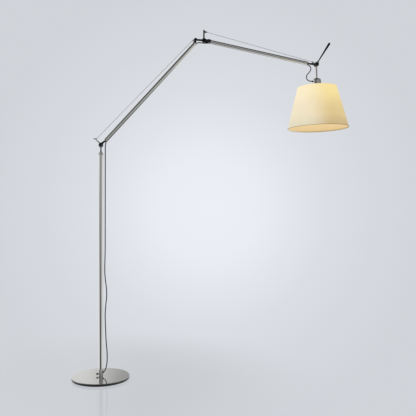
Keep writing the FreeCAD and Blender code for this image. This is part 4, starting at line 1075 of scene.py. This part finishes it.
class LAMP_OT_shade(bpy.types.Operator):
    """Roll the tapered shade, its trims, a thin dark ring painting the shadow line along its bottom rim, and its
    wire rings
    """
    bl_idname = "lamp.shade"
    bl_label = "Shade"

    def execute(self, context):
        sizes = context.scene.lamp_sizes
        down = head_axis()
        place = frame_at(HEAD, -down)
        wall = sizes.shade_wall
        points = vertices_of("shade") - np.array(HEAD)
        axis = np.array(-down)
        heights = points @ axis
        low, high = float(heights.min()), float(heights.max())
        reach = np.linalg.norm(points - np.outer(heights, axis), axis=1)
        wide = float(reach.max())
        narrow = float(reach[heights > high - 1e-4].max())
        slope = (wide - narrow) / (high - low)

        def radius_at(height):
            return narrow + slope * (high - height)

        steps = 24
        outer = [(radius_at(low + (high - low) * k / steps), low + (high - low) * k / steps)
                 for k in range(steps + 1)]
        inner = [(r - wall, h) for r, h in reversed(outer)]
        outside = glow_material("parchment_lit", False)
        inside = glow_material("parchment_inside", True)
        mesh = turned_mesh("shade_cone", outer + inner, Matrix(), SHADE_SEGMENTS)
        mesh.materials.append(outside)
        mesh.materials.append(inside)
        for face in mesh.polygons:
            outward = Vector((face.center.x, face.center.y, 0)).normalized()
            face.material_index = int(face.normal.dot(outward) < -0.2)
        mesh.transform(place)
        add_piece("shade_parchment", mesh, "head", "shade_parchment", ["shade"])

        wide_rim = radius_at(low)
        # The trim tape carries the shade's painted glow: painted lamplight and painted key light.
        trim = glow_material("trim_tape", False)
        for name, edge, sign in (("shade_trim_top", high, -1), ("shade_trim_low", low, 1)):
            fold = edge + sign * sizes.trim_width
            proud = 0.45 * MM
            gap = 0.05 * MM
            rim, far = radius_at(edge), radius_at(fold)
            band = [
                (rim + proud * 0.2, edge - sign * proud), (rim + proud, edge), (far + proud, fold),
                (far + gap, fold), (rim + gap, edge + sign * 2 * gap), (rim - wall - gap, edge + sign * 2 * gap),
                (far - wall - gap, fold), (far - wall - proud, fold), (rim - wall - proud, edge),
                (rim - wall - proud * 0.2, edge - sign * proud),
            ]
            tape = turned_mesh(name, band, place, SHADE_SEGMENTS)
            tape.materials.append(trim)
            add_piece(name, tape, "head", "shade_parchment")

        # A thin dark brown ring just outside the bottom rim: a painted shadow line along the rim's edge.
        near, away = wide_rim + 0.2 * MM, wide_rim + 0.9 * MM
        bottom, top = low + 0.2 * MM, low + 2.2 * MM
        rim_line_mesh = turned_mesh("shade_rim_shadow_line", [
            (away, bottom), (away, top), (near, top), (near, bottom)], place, SHADE_SEGMENTS)
        rim_line_mesh.materials.append(finish_material("rim_bead", (0.20, 0.15, 0.08), 0.6, 0.0, grain=(900, 0.5)))
        add_piece("shade_rim_shadow_line", rim_line_mesh, "head", "shade_parchment")

        rings = ring_pair(place, (
            (narrow - wall - 0.7 * MM, high - 1.8 * MM), (wide - wall - 1.7 * MM, low + 2 * MM)))
        add_piece("shade_wire_rings", rings, "head", "carrier_steel", ["shade_rings"])
        return {"FINISHED"}


def ring_pair(place, rings):
    """The shade's two wire rings as one mesh, each from its outer radius and its height."""
    wire = 1.5 * MM
    sides = 10
    build = bmesh.new()
    for outer, height in rings:
        profile = [
            (outer - wire + wire * math.cos(turn), height + wire * math.sin(turn))
            for turn in (math.tau * step / sides for step in range(sides))
        ]
        ring = turned_mesh("ring", profile, place, 160)
        build.from_mesh(ring)
    mesh = bpy.data.meshes.new("rings")
    build.to_mesh(mesh)
    build.free()
    mesh.materials.append(finishes()["carrier_steel"])
    return mesh


class LAMP_OT_head(bpy.types.Operator):
    """Turn the stem, the dome, the handle and the bulb, and ring the hub"""
    bl_idname = "lamp.head"
    bl_label = "Head"

    def execute(self, context):
        down = head_axis()
        place = frame_at(HEAD, -down)
        start, end, radius = axis_of("shade_stem")
        stem_top = (end - HEAD).dot(-down)
        stem_low = (start - HEAD).dot(-down)
        turned_piece("stem_turned", [
            (radius - 1.5 * MM, stem_low), (radius - 0.4 * MM, stem_low), (radius, stem_low + 0.4 * MM),
            (radius, stem_top), (radius - 1.5 * MM, stem_top),
        ], place, "head", "tube_aluminium", ["shade_stem"], 48)

        dome_radius = 31 * MM
        top = stem_low
        dome_low = -152 * MM
        crown = [(radius + 0.2 * MM, top)]
        rise = 17 * MM
        for step in range(1, 13):
            angle = math.pi / 2 * step / 12
            crown.append((dome_radius * math.sin(angle) ** 0.9, top - rise * (1 - math.cos(angle))))
        outer = crown + [(dome_radius, dome_low + 0.4 * MM), (dome_radius - 0.4 * MM, dome_low)]
        inner = [(dome_radius - 1.6 * MM, dome_low), (dome_radius - 1.8 * MM, top - rise), (20 * MM, top - 6 * MM),
                 (radius + 0.2 * MM, top - 2.5 * MM)]
        turned_piece("dome_spun", outer + inner, place, "head", "dome_aluminium", ["lampholder_dome"], 96)

        first, last, _ = axis_of("head_handle")
        length = (last - first).length
        profile = [
            (0, 0), (2.5 * MM, 0), (2.5 * MM, 9 * MM), (3.6 * MM, 9 * MM), (3.8 * MM, 15 * MM),
            (5.2 * MM, 0.4 * length), (6.6 * MM, 0.7 * length), (7.9 * MM, length - 12 * MM),
            (7.8 * MM, length - 7 * MM), (7.2 * MM, length - 4 * MM), (5.4 * MM, length - 1.4 * MM),
            (3.0 * MM, length - 0.3 * MM), (0, length),
        ]
        turned_piece("handle_grip", profile, frame_at(first, last - first), "head", "black_plastic",
                     ["head_handle"], 48)
        self.bulb(place)
        self.hub_ring()
        return {"FINISHED"}

    def hub_ring(self):
        """A bright ring on the hub's near face, round the head knob."""
        low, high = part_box("head_hub")
        profile = [(11.5 * MM, 0), (16.2 * MM, 0), (16.2 * MM, 0.5 * MM), (15.8 * MM, 0.9 * MM),
                   (11.9 * MM, 0.9 * MM), (11.5 * MM, 0.5 * MM)]
        turned_piece("head_hub_ring", profile, frame_at(Vector((HEAD.x, low.y, HEAD.z)), NEAR, UP), "head",
                     "steel", segments=64)

    def bulb(self, place):
        """A frosted bulb."""
        profile = [(0, -245 * MM), (10 * MM, -243.6 * MM), (19 * MM, -238 * MM), (26 * MM, -229 * MM),
                   (29.7 * MM, -218 * MM), (28.6 * MM, -206 * MM), (23.6 * MM, -194 * MM), (18.2 * MM, -185 * MM),
                   (15.5 * MM, -178.2 * MM), (0, -178.2 * MM)]
        material, tree, shader = new_material("frosted_bulb")
        place_socket = add_node(tree, "ShaderNodeTexCoord").outputs["Object"]
        frost = add_node(tree, "ShaderNodeTexNoise", {"Vector": place_socket, "Scale": 60.0}).outputs["Fac"]
        light = ramp(tree, frost, [(0.3, (1.0, 0.86, 0.62)), (0.7, (1.0, 0.92, 0.74))])
        tree.links.new(light, shader.inputs["Emission Color"])
        shader.inputs["Emission Strength"].default_value = 2.2
        shader.inputs["Roughness"].default_value = 0.5
        mesh = turned_mesh("bulb", profile, place, 64, closed=False)
        mesh.materials.append(material)
        add_piece("bulb_frosted", mesh, "head", "bulb_white", ["bulb_globe"])


class LAMP_OT_finishes(bpy.types.Operator):
    """Give every CAD piece that is still shown its finish"""
    bl_idname = "lamp.finishes"
    bl_label = "Finishes"

    def execute(self, context):
        slots = {row["node"]: row["material_slot"] for row in frame["record"]["subparts"]}
        made = finishes()
        for name, node in frame["nodes"].items():
            if node.hide_render or slots[name] not in made:
                continue
            node.data.materials.clear()
            node.data.materials.append(made["black_metal" if name == "swivel_pin" else slots[name]])
        return {"FINISHED"}


# ---------------------------------------------------------------- add-on

class LAMP_PT_panel(bpy.types.Panel):
    """The lamp's steps, in the order they are made"""
    bl_label = "Arm floor lamp"
    bl_idname = "LAMP_PT_panel"
    bl_space_type = "VIEW_3D"
    bl_region_type = "UI"
    bl_category = "Lamp"

    def draw(self, context):
        for operator in OPERATORS:
            self.layout.operator(operator.bl_idname)
        for group in (context.scene.lamp_sizes, context.scene.lamp_colours):
            for name in group.bl_rna.properties.keys():
                if name not in ("rna_type", "name"):
                    self.layout.prop(group, name)


OPERATORS = (LAMP_OT_stage, LAMP_OT_cords, LAMP_OT_base, LAMP_OT_arms, LAMP_OT_fittings, LAMP_OT_knobs,
             LAMP_OT_head, LAMP_OT_shade, LAMP_OT_finishes)
CLASSES = (LampSizes, LampColours, *OPERATORS, LAMP_PT_panel)


def register():
    for item in CLASSES:
        bpy.utils.register_class(item)
    bpy.types.Scene.lamp_sizes = PointerProperty(type=LampSizes)
    bpy.types.Scene.lamp_colours = PointerProperty(type=LampColours)


def unregister():
    del bpy.types.Scene.lamp_colours
    del bpy.types.Scene.lamp_sizes
    for item in reversed(CLASSES):
        bpy.utils.unregister_class(item)


def main():
    """Make the lamp step by step."""
    register()
    for operator in OPERATORS:
        group, name = operator.bl_idname.split(".")
        getattr(getattr(bpy.ops, group), name)()


if __name__ == "__main__":
    main()
